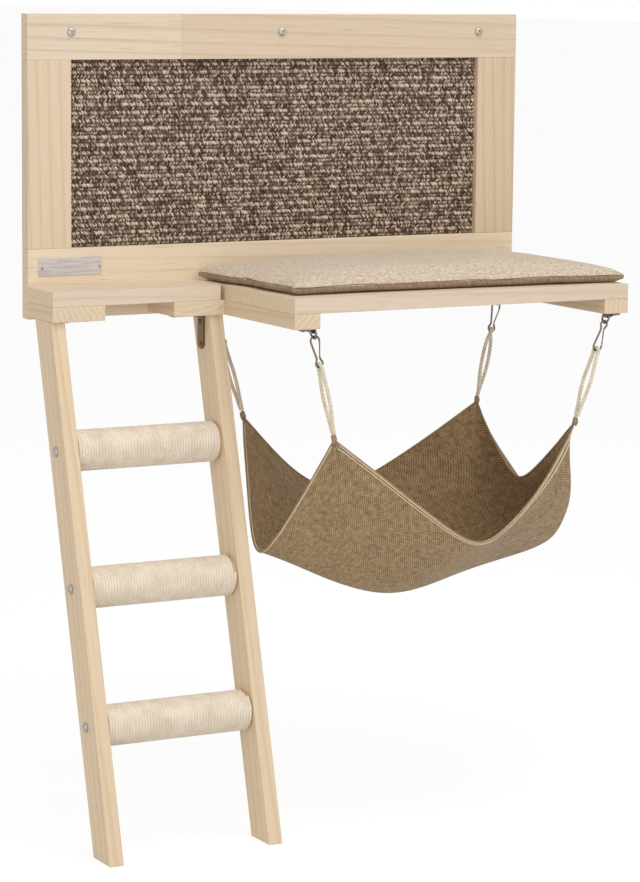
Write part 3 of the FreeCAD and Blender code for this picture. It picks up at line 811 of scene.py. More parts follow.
def stitch_maker() -> Maker:
    """Return the tree that lays rows of loop stitches on the mat, light rows between dark ones."""
    maker = Maker("Mat stitches", {"Width": "NodeSocketFloat", "Height": "NodeSocketFloat",
                                   "Columns": "NodeSocketInt", "Rows": "NodeSocketInt",
                                   "Stitch": "NodeSocketVector", "Place": "NodeSocketVector",
                                   "Seed": "NodeSocketInt", "Finish": "NodeSocketMaterial"})
    tree, source = maker.tree, maker.source

    def scatter(low: object, high: object, salt: int, kind: str = "FLOAT") -> bpy.types.NodeSocket:
        """Return a random number or vector for each stitch."""
        seed = tree.math("ADD", source["Seed"], salt)
        keys = {"FLOAT": (2, 3), "FLOAT_VECTOR": (0, 1)}[kind]
        node = tree.add("FunctionNodeRandomValue", {keys[0]: low, keys[1]: high, "Seed": seed},
                        data_type=kind)
        return node.outputs[{"FLOAT": 1, "FLOAT_VECTOR": 0}[kind]]

    grid = tree.add("GeometryNodeMeshGrid", {"Size X": source["Width"], "Size Y": source["Height"],
                                             "Vertices X": source["Columns"], "Vertices Y": source["Rows"]})
    index = tree.add("GeometryNodeInputIndex").outputs[0]
    row = tree.math("MODULO", index, source["Rows"])
    light = tree.math("MODULO", row, 2)
    column = tree.math("FLOOR", tree.math("DIVIDE", index, source["Rows"]))
    half = tree.math("MULTIPLY", tree.math("MODULO", column, 2), 0.0006)
    jitter = scatter((-0.0006, -0.0005, -0.0002), (0.0006, 0.0005, 0.0003), 1, "FLOAT_VECTOR")
    shift = tree.add("ShaderNodeCombineXYZ", {1: half}).outputs[0]
    offset = tree.add("ShaderNodeVectorMath", {0: jitter, 1: shift}, operation="ADD").outputs[0]
    moved = tree.add("GeometryNodeSetPosition", {"Geometry": grid.outputs[0], "Offset": offset})
    bead = tree.add("GeometryNodeMeshUVSphere", {"Segments": 5, "Rings": 2, "Radius": 1.0}).outputs[0]
    loop = tree.add("GeometryNodeTransform", {"Geometry": bead, "Rotation": (math.pi / 2, 0, 0)}).outputs[0]
    lean = tree.math("ADD", scatter(-0.22, 0.22, 2), tree.math("SUBTRACT", light, 0.5))
    spin = tree.add("ShaderNodeCombineXYZ", {0: scatter(-0.2, 0.2, 3), 2: lean}).outputs[0]
    stretch = scatter((0.75, 0.8, 0.8), (1.2, 1.2, 1.35), 4, "FLOAT_VECTOR")
    size = tree.add("ShaderNodeVectorMath", {0: stretch, 1: source["Stitch"]},
                    operation="MULTIPLY").outputs[0]
    lift = tree.math("ADD", tree.math("MULTIPLY", light, 0.35), 0.85)
    size = tree.add("ShaderNodeVectorMath", {0: size, "Scale": lift}, operation="SCALE").outputs[0]
    placed = tree.add("GeometryNodeInstanceOnPoints", {"Points": moved.outputs[0], "Instance": loop,
                                                       "Rotation": spin, "Scale": size})
    along = tree.add("GeometryNodeInputPosition").outputs[0]
    cloud = tree.add("ShaderNodeTexNoise", {"Vector": along, "Scale": 55.0, "Detail": 2.0}).outputs[0]
    tone = tree.math("ADD", scatter(0.12, 1.05, 5), tree.math("MULTIPLY", light, 0.16))
    tone = tree.math("ADD", tone, tree.math("MULTIPLY", tree.math("SUBTRACT", cloud, 0.45), 0.4))
    marked = tree.add("GeometryNodeStoreNamedAttribute",
                      {"Geometry": placed.outputs[0], "Name": "tone", "Value": tone},
                      data_type="FLOAT", domain="INSTANCE")
    turned = tree.add("GeometryNodeTransform", {"Geometry": marked.outputs[0],
                                                "Rotation": (math.pi / 2, 0, 0),
                                                "Translation": source["Place"]})
    maker.finish(turned.outputs[0])
    return maker


def fitting_maker() -> Maker:
    """Return the tree that sets a copy of a fitting on each point, facing as the point says."""
    maker = Maker("Placed fittings", {"Fitting": "NodeSocketObject", "Size": "NodeSocketFloat",
                                      "Finish": "NodeSocketMaterial"})
    tree, source = maker.tree, maker.source
    shape = tree.add("GeometryNodeObjectInfo", {"Object": source["Fitting"]}).outputs["Geometry"]
    facing = tree.add("GeometryNodeInputNamedAttribute", {"Name": "facing"},
                      data_type="FLOAT_VECTOR").outputs[0]
    turn = tree.add("GeometryNodeInputNamedAttribute", {"Name": "turn"}, data_type="FLOAT").outputs[0]
    spin = tree.add("ShaderNodeCombineXYZ", {2: turn}).outputs[0]
    aimed = tree.add("FunctionNodeAlignRotationToVector", {"Rotation": spin, "Vector": facing}, axis="Z")
    placed = tree.add("GeometryNodeInstanceOnPoints", {"Points": source["Geometry"], "Instance": shape,
                                                       "Rotation": aimed.outputs[0], "Scale": source["Size"]})
    maker.finish(placed.outputs[0])
    return maker


class Recess(Enum):
    """What a driver turns a head by."""

    CROSS = "cross"
    HEX = "hex"


@dataclass(frozen=True)
class Head:
    """A screw or bolt head with its recess, drawn with its seat on the origin and facing +Z."""

    radius: float
    height: float
    recess: Recess
    across: float

    def build(self) -> bpy.types.Object:
        """Return the head."""
        r, h = self.radius, self.height
        head = lathe("head", [(r * 0.55, -h), (r, -0.1 * h), (r, 0.35 * h), (r * 0.9, 0.72 * h),
                              (r * 0.62, 0.95 * h), (r * 0.3, h)], 20)
        if self.recess is Recess.CROSS:
            cutters = [rounded_box("cut", (self.across, self.across * 0.26, h), (0, 0, h * 0.85), h * 0.05),
                       rounded_box("cut", (self.across * 0.26, self.across, h), (0, 0, h * 0.85), h * 0.05)]
        else:
            cutters = [lathe("cut", [(self.across / 2, h * 0.3), (self.across / 2, h * 1.6)], 6)]
        return cut(head, cutters)


def set_fittings(name: str, shape: bpy.types.Object, places: Sequence[tuple[Vector, Vector]],
                 finish: bpy.types.Material, seed: int = 1) -> bpy.types.Object:
    """Set a copy of a fitting on each place.

    Args:
        name: The piece's name.
        shape: The fitting, facing +Z with its seat on the origin; it is used up.
        places: Point and outward direction of each.
        finish: The material.
        seed: Seed of the turns that the screws stopped at.

    Returns:
        The fittings as one piece.
    """
    draw = random.Random(seed)
    points = mesh_piece(name, [p for p, _ in places], [])
    marks = points.data.attributes
    marks.new("facing", "FLOAT_VECTOR", "POINT")
    marks.new("turn", "FLOAT", "POINT")
    for i, (_, way) in enumerate(places):
        marks["facing"].data[i].vector = way
        marks["turn"].data[i].value = draw.uniform(0, math.pi)
    made = fitting_maker().make(points, Fitting=shape, Size=1.0, Finish=finish)
    bpy.data.objects.remove(shape)
    return made


def threaded_screw(head: Head, shank: float, plain: float, thread: float, length: float) -> bpy.types.Object:
    """Make a whole screw that faces +Z: head, plain shank and pointed thread.

    Args:
        head: Its head.
        shank: Radius of the plain shank.
        plain: Length of the plain shank.
        thread: Radius over the thread.
        length: Length of the thread.

    Returns:
        The screw.
    """
    sides, pitch, core, step = 20, 2.2 * MM, thread * 0.68, 0.275 * MM
    verts, faces = [], []
    rings = round(length / step)
    for i in range(rings + 1):
        depth = i * step
        point = min(1.0, (length - depth) / (6 * MM) + 0.04)
        for k in range(sides):
            share = (depth / pitch - k / sides) % 1
            ridge = max(0.0, 1 - abs(share - 0.5) / 0.28)
            r = (core + (thread - core) * ridge) * point
            angle = 2 * math.pi * k / sides
            verts.append((r * math.cos(angle), r * math.sin(angle), -plain - depth))
    for i in range(rings):
        a, b = i * sides, (i + 1) * sides
        faces += band(b, a, sides)
    faces += [tuple(range(sides)), tuple(range(len(verts) - sides, len(verts)))[::-1]]
    thread_piece = mesh_piece("thread", verts, faces)
    shank_piece = lathe("shank", [(shank, -plain), (shank, 0)], sides)
    return joined("screw", [head.build(), shank_piece, thread_piece])


# --- the panel ------------------------------------------------------------------------------
REBATE = ((-258 * MM, -7.5 * MM, -94 * MM), (258 * MM, 5 * MM, 120 * MM))
PLATE_SIZE = (72.8 * MM, 0.8 * MM, 19.3 * MM)
PLATE_MIDDLE = (-251.9 * MM, -16.4 * MM, -105.15 * MM)
RIVET_XS, PLATE_FACE, RIVET_Z = (-284.1 * MM, -217.7 * MM), -16.8 * MM, -106.2 * MM


class Panel:
    """The scratch panel: four boards, a woven mat on its backing, wall screws and a bare name plate."""

    def build_boards(self) -> None:
        """Make the rails and the stiles."""
        boards = {
            "top_rail": (rectangle(-PANEL_X, PANEL_X, OPEN_Z1, PANEL_Z),
                         Pine("pine_top_rail", Grain.X, (220, 201, 178), (194, 167, 136), 1.0,
                              joint=-0.122, before=(227, 212, 191))),
            "foot_rail": (rectangle(-PANEL_X, PANEL_X, -PANEL_Z, OPEN_Z0),
                          Pine("pine_foot_rail", Grain.X, (234, 217, 193), (212, 188, 157), 2.3)),
            "frame_stile_left": (rectangle(-PANEL_X, -OPEN_X, OPEN_Z0, OPEN_Z1),
                                 Pine("pine_stile_left", Grain.Z, (224, 203, 178), (198, 170, 136), 3.1)),
            "frame_stile_right": (rectangle(OPEN_X, PANEL_X, OPEN_Z0, OPEN_Z1),
                                  Pine("pine_stile_right", Grain.Z, (218, 198, 171), (188, 158, 122),
                                       4.7)),
        }
        for node, (outline, wood) in boards.items():
            Board(node, outline, Grain.Y, -BOARD, 0, "panel_pine", rebate=REBATE).build(wood)

    def build_mat(self) -> None:
        """Dress the backing and the mat, and stitch the mat's face."""
        nodes = frame["nodes"]
        ply = Pine("birch_ply", Grain.X, (206, 184, 152), (182, 156, 120), 6.0)
        repaint(nodes["backing_board"], ply.build())
        # Painted shade: the mat's ground is dark brown so that the gaps between the stitch rows read as
        # shaded.
        repaint(nodes["scratch_mat"], Fibre("mat_ground", (112, 92, 76), (66, 50, 40), 700).build())
        seat = mesh_piece("mat_stitches", [(0, 0, 0)], [])
        stitches = stitch_maker().make(seat, Width=0.498, Height=0.195, Columns=246, Rows=47,
                                       Stitch=(1.15 * MM, 2.9 * MM, 1.5 * MM), Place=(0, -8.6 * MM, 13 * MM),
                                       Seed=4, Finish=Sisal().build())
        place(stitches, "frame", "sisal_mat")

    def build_fittings(self) -> None:
        """Make the wall screws and the bare name plate with its two rivets."""
        steel = Metal("bright_zinc", (196, 194, 190), 0.32).build()
        whole = threaded_screw(Head(4.5 * MM, 2.6 * MM, Recess.CROSS, 4.6 * MM), 1.9 * MM, BOARD, 2.25 * MM,
                               35 * MM)
        spots = [(Vector((x, -BOARD, 141 * MM)), Vector((0, -1, 0))) for x in (-0.25, 0, 0.25)]
        screws = set_fittings("wall_screws_threaded", whole, spots, steel, 3)
        place(screws, "frame", "bright_steel", "wall_screws")
        plate = rounded_box("name_plate", PLATE_SIZE, PLATE_MIDDLE, 0.35 * MM)
        dress(plate, Metal("brushed_plate", (214, 208, 204), 0.4, 0.35, streak=0.08).build())
        place(plate, "frame", "bright_steel")
        rivet = lathe("rivet", [(1.5 * MM, -0.2 * MM), (1.5 * MM, 0.3 * MM), (1.1 * MM, 0.75 * MM),
                                (0.5 * MM, 0.95 * MM)], 16)
        spots = [(Vector((x, PLATE_FACE, RIVET_Z)), Vector((0, -1, 0))) for x in RIVET_XS]
        bright = Metal("plain_rivet", (176, 172, 176), 0.3, 0.6).build()
        place(set_fittings("plate_rivets", rivet, spots, bright, 5), "frame", "bright_steel")

    def build(self) -> None:
        """Make the whole panel."""
        self.build_boards()
        self.build_mat()
        self.build_fittings()


# --- the shelf ------------------------------------------------------------------------------
class Shelf:
    """The L-shaped shelf board on its four battens."""

    def build_board(self) -> None:
        """Make the board with the saw relief in its inner corner."""
        relief = (STEP_X - 5 * MM, NARROW_Y + 12 * MM)
        outline = ((-PANEL_X, -BOARD), (-PANEL_X, NARROW_Y), (relief[0], NARROW_Y), relief,
                   (STEP_X, relief[1]), (STEP_X, WIDE_Y), (SHELF_END, WIDE_Y), (SHELF_END, -BOARD))
        board = Board("shelf_board", outline, Grain.Z, SHELF_LOW, SHELF_TOP, "shelf_pine")
        board.build(Pine("pine_shelf", Grain.X, (222, 205, 184), (200, 177, 149), 5.2))

    def build_battens(self) -> None:
        """Make the four battens, end grain to the front."""
        spans = {"ladder_batten_left": (-300, -240, NARROW_Y), "ladder_batten_right": (-160, -100, NARROW_Y),
                 "shelf_batten_left": (-100, -70, WIDE_Y), "shelf_batten_right": (280, 310, WIDE_Y)}
        for seed, (node, (x0, x1, front)) in enumerate(spans.items()):
            board = Board(node, rectangle(x0 * MM, x1 * MM, BATTEN_LOW, SHELF_LOW), Grain.Y, front, -BOARD,
                          "batten_pine")
            board.build(Pine("pine_" + node, Grain.Y, (222, 202, 174), (192, 164, 128), 7.0 + seed * 1.9))

    def build(self) -> None:
        """Make the whole shelf, and dress the dowels of the shelf and of the panel's frame."""
        self.build_board()
        self.build_battens()
        for node, grain in (("shelf_dowels", Grain.Y), ("frame_dowels", Grain.Z)):
            repaint(frame["nodes"][node], Pine("beech_" + node, grain, (206, 172, 132)).build())


# --- the ladder -----------------------------------------------------------------------------
RUNG_HEIGHTS = {"bottom": -569 * MM, "middle": -430 * MM, "top": -291 * MM}
LADDER_LEAN = math.radians(15)
STILE_FLAT = 41.411 * MM


def stile_front(z: float) -> float:
    """Return the Y of the ladder's front at a height."""
    return -75 * MM - (BATTEN_LOW - z) * math.tan(LADDER_LEAN)


def rung_y(z: float) -> float:
    """Return the Y of a rung's axis at a height."""
    return stile_front(z) + STILE_FLAT / 2 + 3 * MM


class Ladder:
    """Two leaning stiles, three rungs wound with twine, bolts and angle brackets."""

    def build_stiles(self) -> None:
        """Make the two stiles."""
        top, foot = stile_front(BATTEN_LOW), stile_front(FEET_Z)
        outline = ((top, BATTEN_LOW), (top + STILE_FLAT, BATTEN_LOW),
                   (foot + STILE_FLAT, FEET_Z), (foot, FEET_Z))
        for node, x0, seed in (("ladder_stile_left", -300 * MM, 11.0),
                               ("ladder_stile_right", -116 * MM, 13.6)):
            board = Board(node, outline, Grain.X, x0, x0 + BOARD, "ladder_pine", ease=0.9 * MM)
            wood = Pine("pine_" + node, Grain.Z, (228, 207, 178), (202, 172, 134), seed, lean=LADDER_LEAN)
            board.build(wood)

    def build_rungs(self) -> None:
        """Wind each rung and dress its core."""
        maker = winding_maker()
        twine = Fibre("cotton_twine", (250, 239, 222), (222, 204, 178), 900).build()
        core = Pine("pine_rung_core", Grain.X, (214, 190, 156), (190, 160, 122), 15.0).build()
        for (name, z), turns in zip(RUNG_HEIGHTS.items(), (48.4, 49.3, 48.8)):
            seat = mesh_piece("rung_winding_" + name, [(0, 0, 0)], [])
            wound = maker.make(seat, Turns=turns, Radius=19.7 * MM, Length=163.2 * MM, Strand=2.4 * MM,
                               Twist=300.0, Place=(-282.0 * MM, rung_y(z), z), Finish=twine)
            place(wound, "frame", "cotton_twine", "rung_wrap_" + name)
            repaint(frame["nodes"]["rung_core_" + name], core)

    def build_fittings(self) -> None:
        """Make the bolts, dress the brackets and set their screws."""
        steel = Metal("bolt_zinc", (186, 184, 180), 0.34).build()
        head = Head(5.2 * MM, 3.0 * MM, Recess.HEX, 5.0 * MM)
        whole = joined("bolt", [head.build(), lathe("shank", [(3 * MM, -50 * MM), (3 * MM, 0)], 20)])
        spots = [(Vector((x, rung_y(z), z)), Vector((way, 0, 0)))
                 for z in RUNG_HEIGHTS.values() for x, way in ((-0.3, -1), (-0.1, 1))]
        bolts = set_fittings("rung_bolts_headed", whole, spots, steel, 7)
        place(bolts, "frame", "bright_steel", "rung_bolts")
        bronze = Metal("bronzed_bracket", (124, 100, 66), 0.42, 0.75).build()
        y = stile_front(BATTEN_LOW) + STILE_FLAT / 2 - 3 * MM
        spots = []
        for side, inner in ((1, -284 * MM), (-1, -116 * MM)):
            repaint(frame["nodes"]["bracket_left" if side > 0 else "bracket_right"], bronze)
            face = inner + side * 2 * MM
            for drop, shift in ((9, 1.2), (32.5, -1.2)):
                spots.append((Vector((face, y + shift * MM, BATTEN_LOW - drop * MM)), Vector((side, 0, 0))))
                spots.append((Vector((inner + side * drop * MM, y - shift * MM, BATTEN_LOW - 2 * MM)),
                              Vector((0, 0, -1))))
        small = Head(2.7 * MM, 1.1 * MM, Recess.CROSS, 3.0 * MM).build()
        place(set_fittings("bracket_screws", small, spots, bronze, 9), "frame", "bracket_steel")

    def build(self) -> None:
        """Make the whole ladder."""
        self.build_stiles()
        self.build_rungs()
        self.build_fittings()


# --- the four hangers -----------------------------------------------------------------------
LEAN_X, LEAN_Y = math.radians(15.3), math.radians(4.6)
WIRE_R, BAR_Z, HOOK_FROM_BAR, LEG_L = 1.1 * MM, -159.4 * MM, 5.7 * MM, 111.3 * MM
FRONT_BAR, REAR_BAR, BAR_HALF = (0.105, -0.232), (0.096, -0.0245), 0.181
SLING_X, FOLD_Y, TIP_Y = 0.1005, -0.13, -0.12825
STRAP_SCREW_X = 11.2 * MM
ROPE_ROUTE = ((0, 2.1, -107.4), (0, 2.5, -99), (0, 8.2, -72), (0, 4.0, -40), (0, 4.6, -30.5),
              (0, -4.6, -30.5), (0, -4.0, -40), (0, -7.8, -70), (0, -2.5, -99), (0, -2.1, -107.4))
OPEN_ROUTE = ((0.6, 2.1, -107.4), (2.6, 2.2, -98), (6.6, 3.4, -74), (6.4, 4.6, -45), (0.6, 4.8, -30.3),
              (-0.6, -4.8, -30.3), (-6.0, -4.6, -44), (-6.2, -3.4, -72), (-2.8, -2.2, -97),
              (-0.6, -2.1, -107.4))
COIL_STEPS, COIL_TURNS = 55, 2.4
FOLD_RINGS = ((-5.4, 2.6, 1.7), (-4.0, 3.3, 1.1), (-2.2, 3.5, 0.5), (-0.4, 3.2, 0.1), (1.2, 2.7, 0.0),
              (2.2, 2.1, 0.0), (1.8, 1.6, 0.0))


def arc(centre: tuple[float, float], radius: float, start: float, turn: float,
        steps: int) -> list[tuple[float, float]]:
    """Return points along an arc.

    Args:
        centre: Its centre.
        radius: Its radius.
        start: Angle that it starts at.
        turn: Angle that it covers.
        steps: Number of steps.

    Returns:
        The points.
    """
    angles = [start + turn * i / steps for i in range(steps + 1)]
    return [(centre[0] + radius * math.cos(a), centre[1] + radius * math.sin(a)) for a in angles]


def bent(points: Points, step: float, passes: int, closed: bool = False) -> Points:
    """Space the points of a bent wire evenly and round its corners.

    Args:
        points: The wire's run.
        step: Distance between the new points.
        passes: How often each point moves to the mean of its neighbours.
        closed: Whether the wire comes back to its start.

    Returns:
        The evened points.
    """
    run = np.array([tuple(p) for p in points + (points[:1] if closed else [])])
    along = np.concatenate([[0], np.cumsum(np.linalg.norm(np.diff(run, axis=0), axis=1))])
    count = max(8, round(along[-1] / step))
    places = np.linspace(0, along[-1], count + 1)[: count if closed else count + 1]
    even = np.stack([np.interp(places, along, run[:, k]) for k in range(3)], axis=1)
    for _ in range(passes):
        mean = (np.roll(even, 1, 0) + 2 * even + np.roll(even, -1, 0)) / 4
        if not closed:
            mean[0], mean[-1] = even[0], even[-1]
        even = mean
    return [Vector(p) for p in even]


@dataclass
class Hanger:
    """One corner's hardware and rope: strap, D-ring, snap hook, gate, rope loop and knot."""

    corner: str
    side: int
    front: bool
    steel: bpy.types.Material
    rope: bpy.types.Material
    flipped: bool = False

    @property
    def bar(self) -> Vector:
        """Return the middle of the D-ring's bar."""
        x, y = FRONT_BAR if self.front else REAR_BAR
        return Vector((x + self.side * BAR_HALF, y, BAR_Z))

    @property
    def ring_frame(self) -> Matrix:
        """Return the ring's frame, leaned inwards about its bar."""
        return Matrix.Translation(self.bar) @ Matrix.Rotation(self.side * LEAN_X, 4, "Y")

    @property
    def hook_frame(self) -> Matrix:
        """Return the hook's frame, with its origin in the middle of the upper bend."""
        origin = self.ring_frame @ Vector((0, 0, -HOOK_FROM_BAR))
        tip = Matrix.Rotation((1 if self.front else -1) * LEAN_Y, 4, "X")
        return Matrix.Translation(origin) @ tip @ Matrix.Rotation(self.side * LEAN_X, 4, "Y")

    @property
    def knot(self) -> Vector:
        """Return the middle of the knot."""
        return self.hook_frame @ Vector((0, 0, -LEG_L))

    def in_hook(self, x: float, z: float) -> Vector:
        """Return a point of the hook's own plane, in millimetres, in the part's frame."""
        if self.flipped:
            z = -34 - z
        return self.hook_frame @ Vector((x * MM, 0, z * MM))

    def build_strap(self) -> None:
        """Fold the strap round the ring's bar and lay it under the batten."""
        run = [(15.0, -0.5), (0.0, -0.5)]
        low = (self.bar.z - BATTEN_LOW) / MM
        run += [(x, low + up) for x, up in arc((0, 0), 1.9, math.pi / 2, math.pi, 12)][1:]
        run += [(1.4, low - 1.9), (7.2, -1.5), (15.0, -1.5)]
        verts, faces = [], []
        for x, z in run:
            for y in (-4.5, 4.5):
                up = BATTEN_LOW - self.bar.z + z * MM
                verts.append(self.bar + Vector((self.side * x * MM, y * MM, up)))
        for i in range(len(run) - 1):
            a = 2 * i
            faces.append((a, a + 1, a + 3, a + 2))
        piece = mesh_piece("strap_folded_" + self.corner, verts, faces, smooth=False)
        thick = piece.modifiers.new("thick", "SOLIDIFY")
        thick.thickness, thick.offset = 0.96 * MM, 0
        ease = piece.modifiers.new("ease", "BEVEL")
        ease.width, ease.segments, ease.limit_method = 0.2 * MM, 2, "ANGLE"
        piece = evaluated(piece)
        dress(piece, self.steel)
        place(piece, "frame", "hanger_steel", "hanger_strap_" + self.corner)

    def build_ring(self) -> None:
        """Bend the D-ring."""
        path = [Vector((0, -6.2, 0)), Vector((0, 6.2, 0))]
        path += [Vector((0, y, z)) for y, z in arc((0, -2), 6.2, 0, -math.pi, 24)]
        frame_of_ring = self.ring_frame
        path = [frame_of_ring @ (p * MM) for p in bent(path, 0.45, 2, closed=True)]
        ring = sweep("ring_bent_" + self.corner, path, WIRE_R, 12, closed=True)
        dress(ring, self.steel)
        place(ring, "ring_" + self.corner, "hook_wire", "dee_ring_" + self.corner)

    def build_hook(self) -> None:
        """Bend the snap hook and its gate."""
        half = math.asin(1.8 / 4) * 1.6
        run = [(5, -7.2)] + arc((0, -5), 5, 0, math.pi, 24) + [(-1.8, -24.2)]
        run += arc((0, -30), 4, math.pi / 2 + half, 2 * (math.pi - half), 24) + [(1.8, -24.2)]
        path = bent([self.in_hook(x, z) for x, z in run], 0.5 * MM, 4)
        hook = sweep("hook_bent_" + self.corner, path, WIRE_R, 12)
        dress(hook, self.steel)
        place(hook, "hook_" + self.corner, "hook_wire", "snap_hook_" + self.corner)
        foot, tip = self.in_hook(1.8, -23.7), self.in_hook(5, -7.8)
        shares = [0, 0.04, 0.08, 0.12, 0.88, 0.92, 0.96, 1.0]
        swell = [0.5, 0.95, 1.05, 0.8, 0.8, 1.0, 1.0, 0.7]
        gate = sweep("gate_sprung_" + self.corner, [foot.lerp(tip, s) for s in shares],
                     [r * 0.9 * MM for r in swell], 12)
        dress(gate, self.steel)
        place(gate, "gate_" + self.corner, "hook_wire", "hook_gate_" + self.corner)

    def rope_line(self) -> Points:
        """Return the points of the rope's middle line, read from its spline."""
        data = bpy.data.curves.new("line_" + self.corner, "CURVE")
        data.dimensions, data.resolution_u = "3D", 28
        spline = data.splines.new("NURBS")
        route = OPEN_ROUTE if self.corner == "rr" else ROPE_ROUTE
        spline.points.add(len(route) - 1)
        for point, spot in zip(spline.points, route):
            point.co = (*(self.hook_frame @ (Vector(spot) * MM)), 1)
        spline.order_u, spline.use_endpoint_u = 3, True
        holder = bpy.data.objects.new("line_" + self.corner, data)
        bpy.context.scene.collection.objects.link(holder)
        graph = bpy.context.evaluated_depsgraph_get()
        graph.update()
        mesh = bpy.data.meshes.new_from_object(holder.evaluated_get(graph))
        points = [v.co.copy() for v in mesh.vertices]
        bpy.data.objects.remove(holder)
        return points

    def build_rope(self) -> None:
        """Lay three strands along the rope's line."""
        line = bent(self.rope_line(), 0.7 * MM, 0)
        pairs = frames_along(line)
        along = [0.0]
        for one, two in zip(line, line[1:]):
            along.append(along[-1] + (two - one).length)
        strands = []
        for k in range(3):
            path = []
            for point, (one, two), run in zip(line, pairs, along):
                angle = 2 * math.pi * (run / (13 * MM) + k / 3)
                path.append(point + (one * math.cos(angle) + two * math.sin(angle)) * (1.08 * MM))
            strands.append(sweep("strand", path, 1.12 * MM, 8))
        rope = joined("rope_laid_" + self.corner, strands)
        smooth_all(rope)
        dress(rope, self.rope)
        place(rope, "hook_" + self.corner, "cotton_rope", "rope_loop_" + self.corner)

    def build_knot(self) -> None:
        """Wrap the knot that closes the rope, and fold the cloth's corner up round it."""
        path = []
        for i in range(COIL_STEPS + 1):
            share = i / COIL_STEPS
            angle = 2 * math.pi * COIL_TURNS * share
            r = 1.1 + 0.3 * math.sin(math.pi * share)
            turn = Vector((r * math.cos(angle), r * math.sin(angle), -1.6 + 4.4 * share))
            path.append(self.knot + turn * MM)
        coil = sweep("knot_coil_" + self.corner, path, 0.9 * MM, 8)
        dress(coil, self.rope)
        body = "knot_fl" if self.corner == "fl" else "sling"
        inward = Vector((SLING_X - self.knot.x, FOLD_Y - self.knot.y, 0)).normalized()
        verts, faces, sides = [], [], 20
        for up, radius, shift in FOLD_RINGS:
            for k in range(sides):
                angle = 2 * math.pi * k / sides
                fold = 1 + 0.1 * math.sin(3 * angle + up) + 0.05 * math.sin(7 * angle)
                r = radius * fold * (1.0 if up > 0 else 0.86)
                facing = math.cos(angle - math.atan2(inward.y, inward.x))
                drop = 0.5 * abs(up) * max(0.0, -facing)
                ring = Vector((r * math.cos(angle), r * math.sin(angle), up - drop))
                verts.append(self.knot + ring * MM + inward * (shift * MM))
        for i in range(len(FOLD_RINGS) - 1):
            a, b = i * sides, (i + 1) * sides
            faces += band(a, b, sides)
        wrap = mesh_piece("corner_fold_" + self.corner, verts, faces)
        thick = wrap.modifiers.new("thick", "SOLIDIFY")
        thick.thickness, thick.offset = 0.7 * MM, -1
        wrap = evaluated(wrap)
        folded = Fibre("folded_burlap_" + self.corner, (176, 150, 116), (122, 100, 74), 900)
        dress(wrap, folded.build())
        place(coil, body, "cotton_rope", "corner_knot_" + self.corner)
        place(wrap, body, "sling_burlap")

    def strap_screw(self) -> tuple[Vector, Vector]:
        """Return where the strap's screw sits, and the way that it faces."""
        x = self.bar.x + self.side * STRAP_SCREW_X
        return Vector((x, self.bar.y, BATTEN_LOW - 2 * MM)), Vector((0, 0, -1))

    def build(self) -> None:
        """Make the whole corner."""
        self.build_strap()
        self.build_ring()
        self.build_hook()
        self.build_rope()
        self.build_knot()


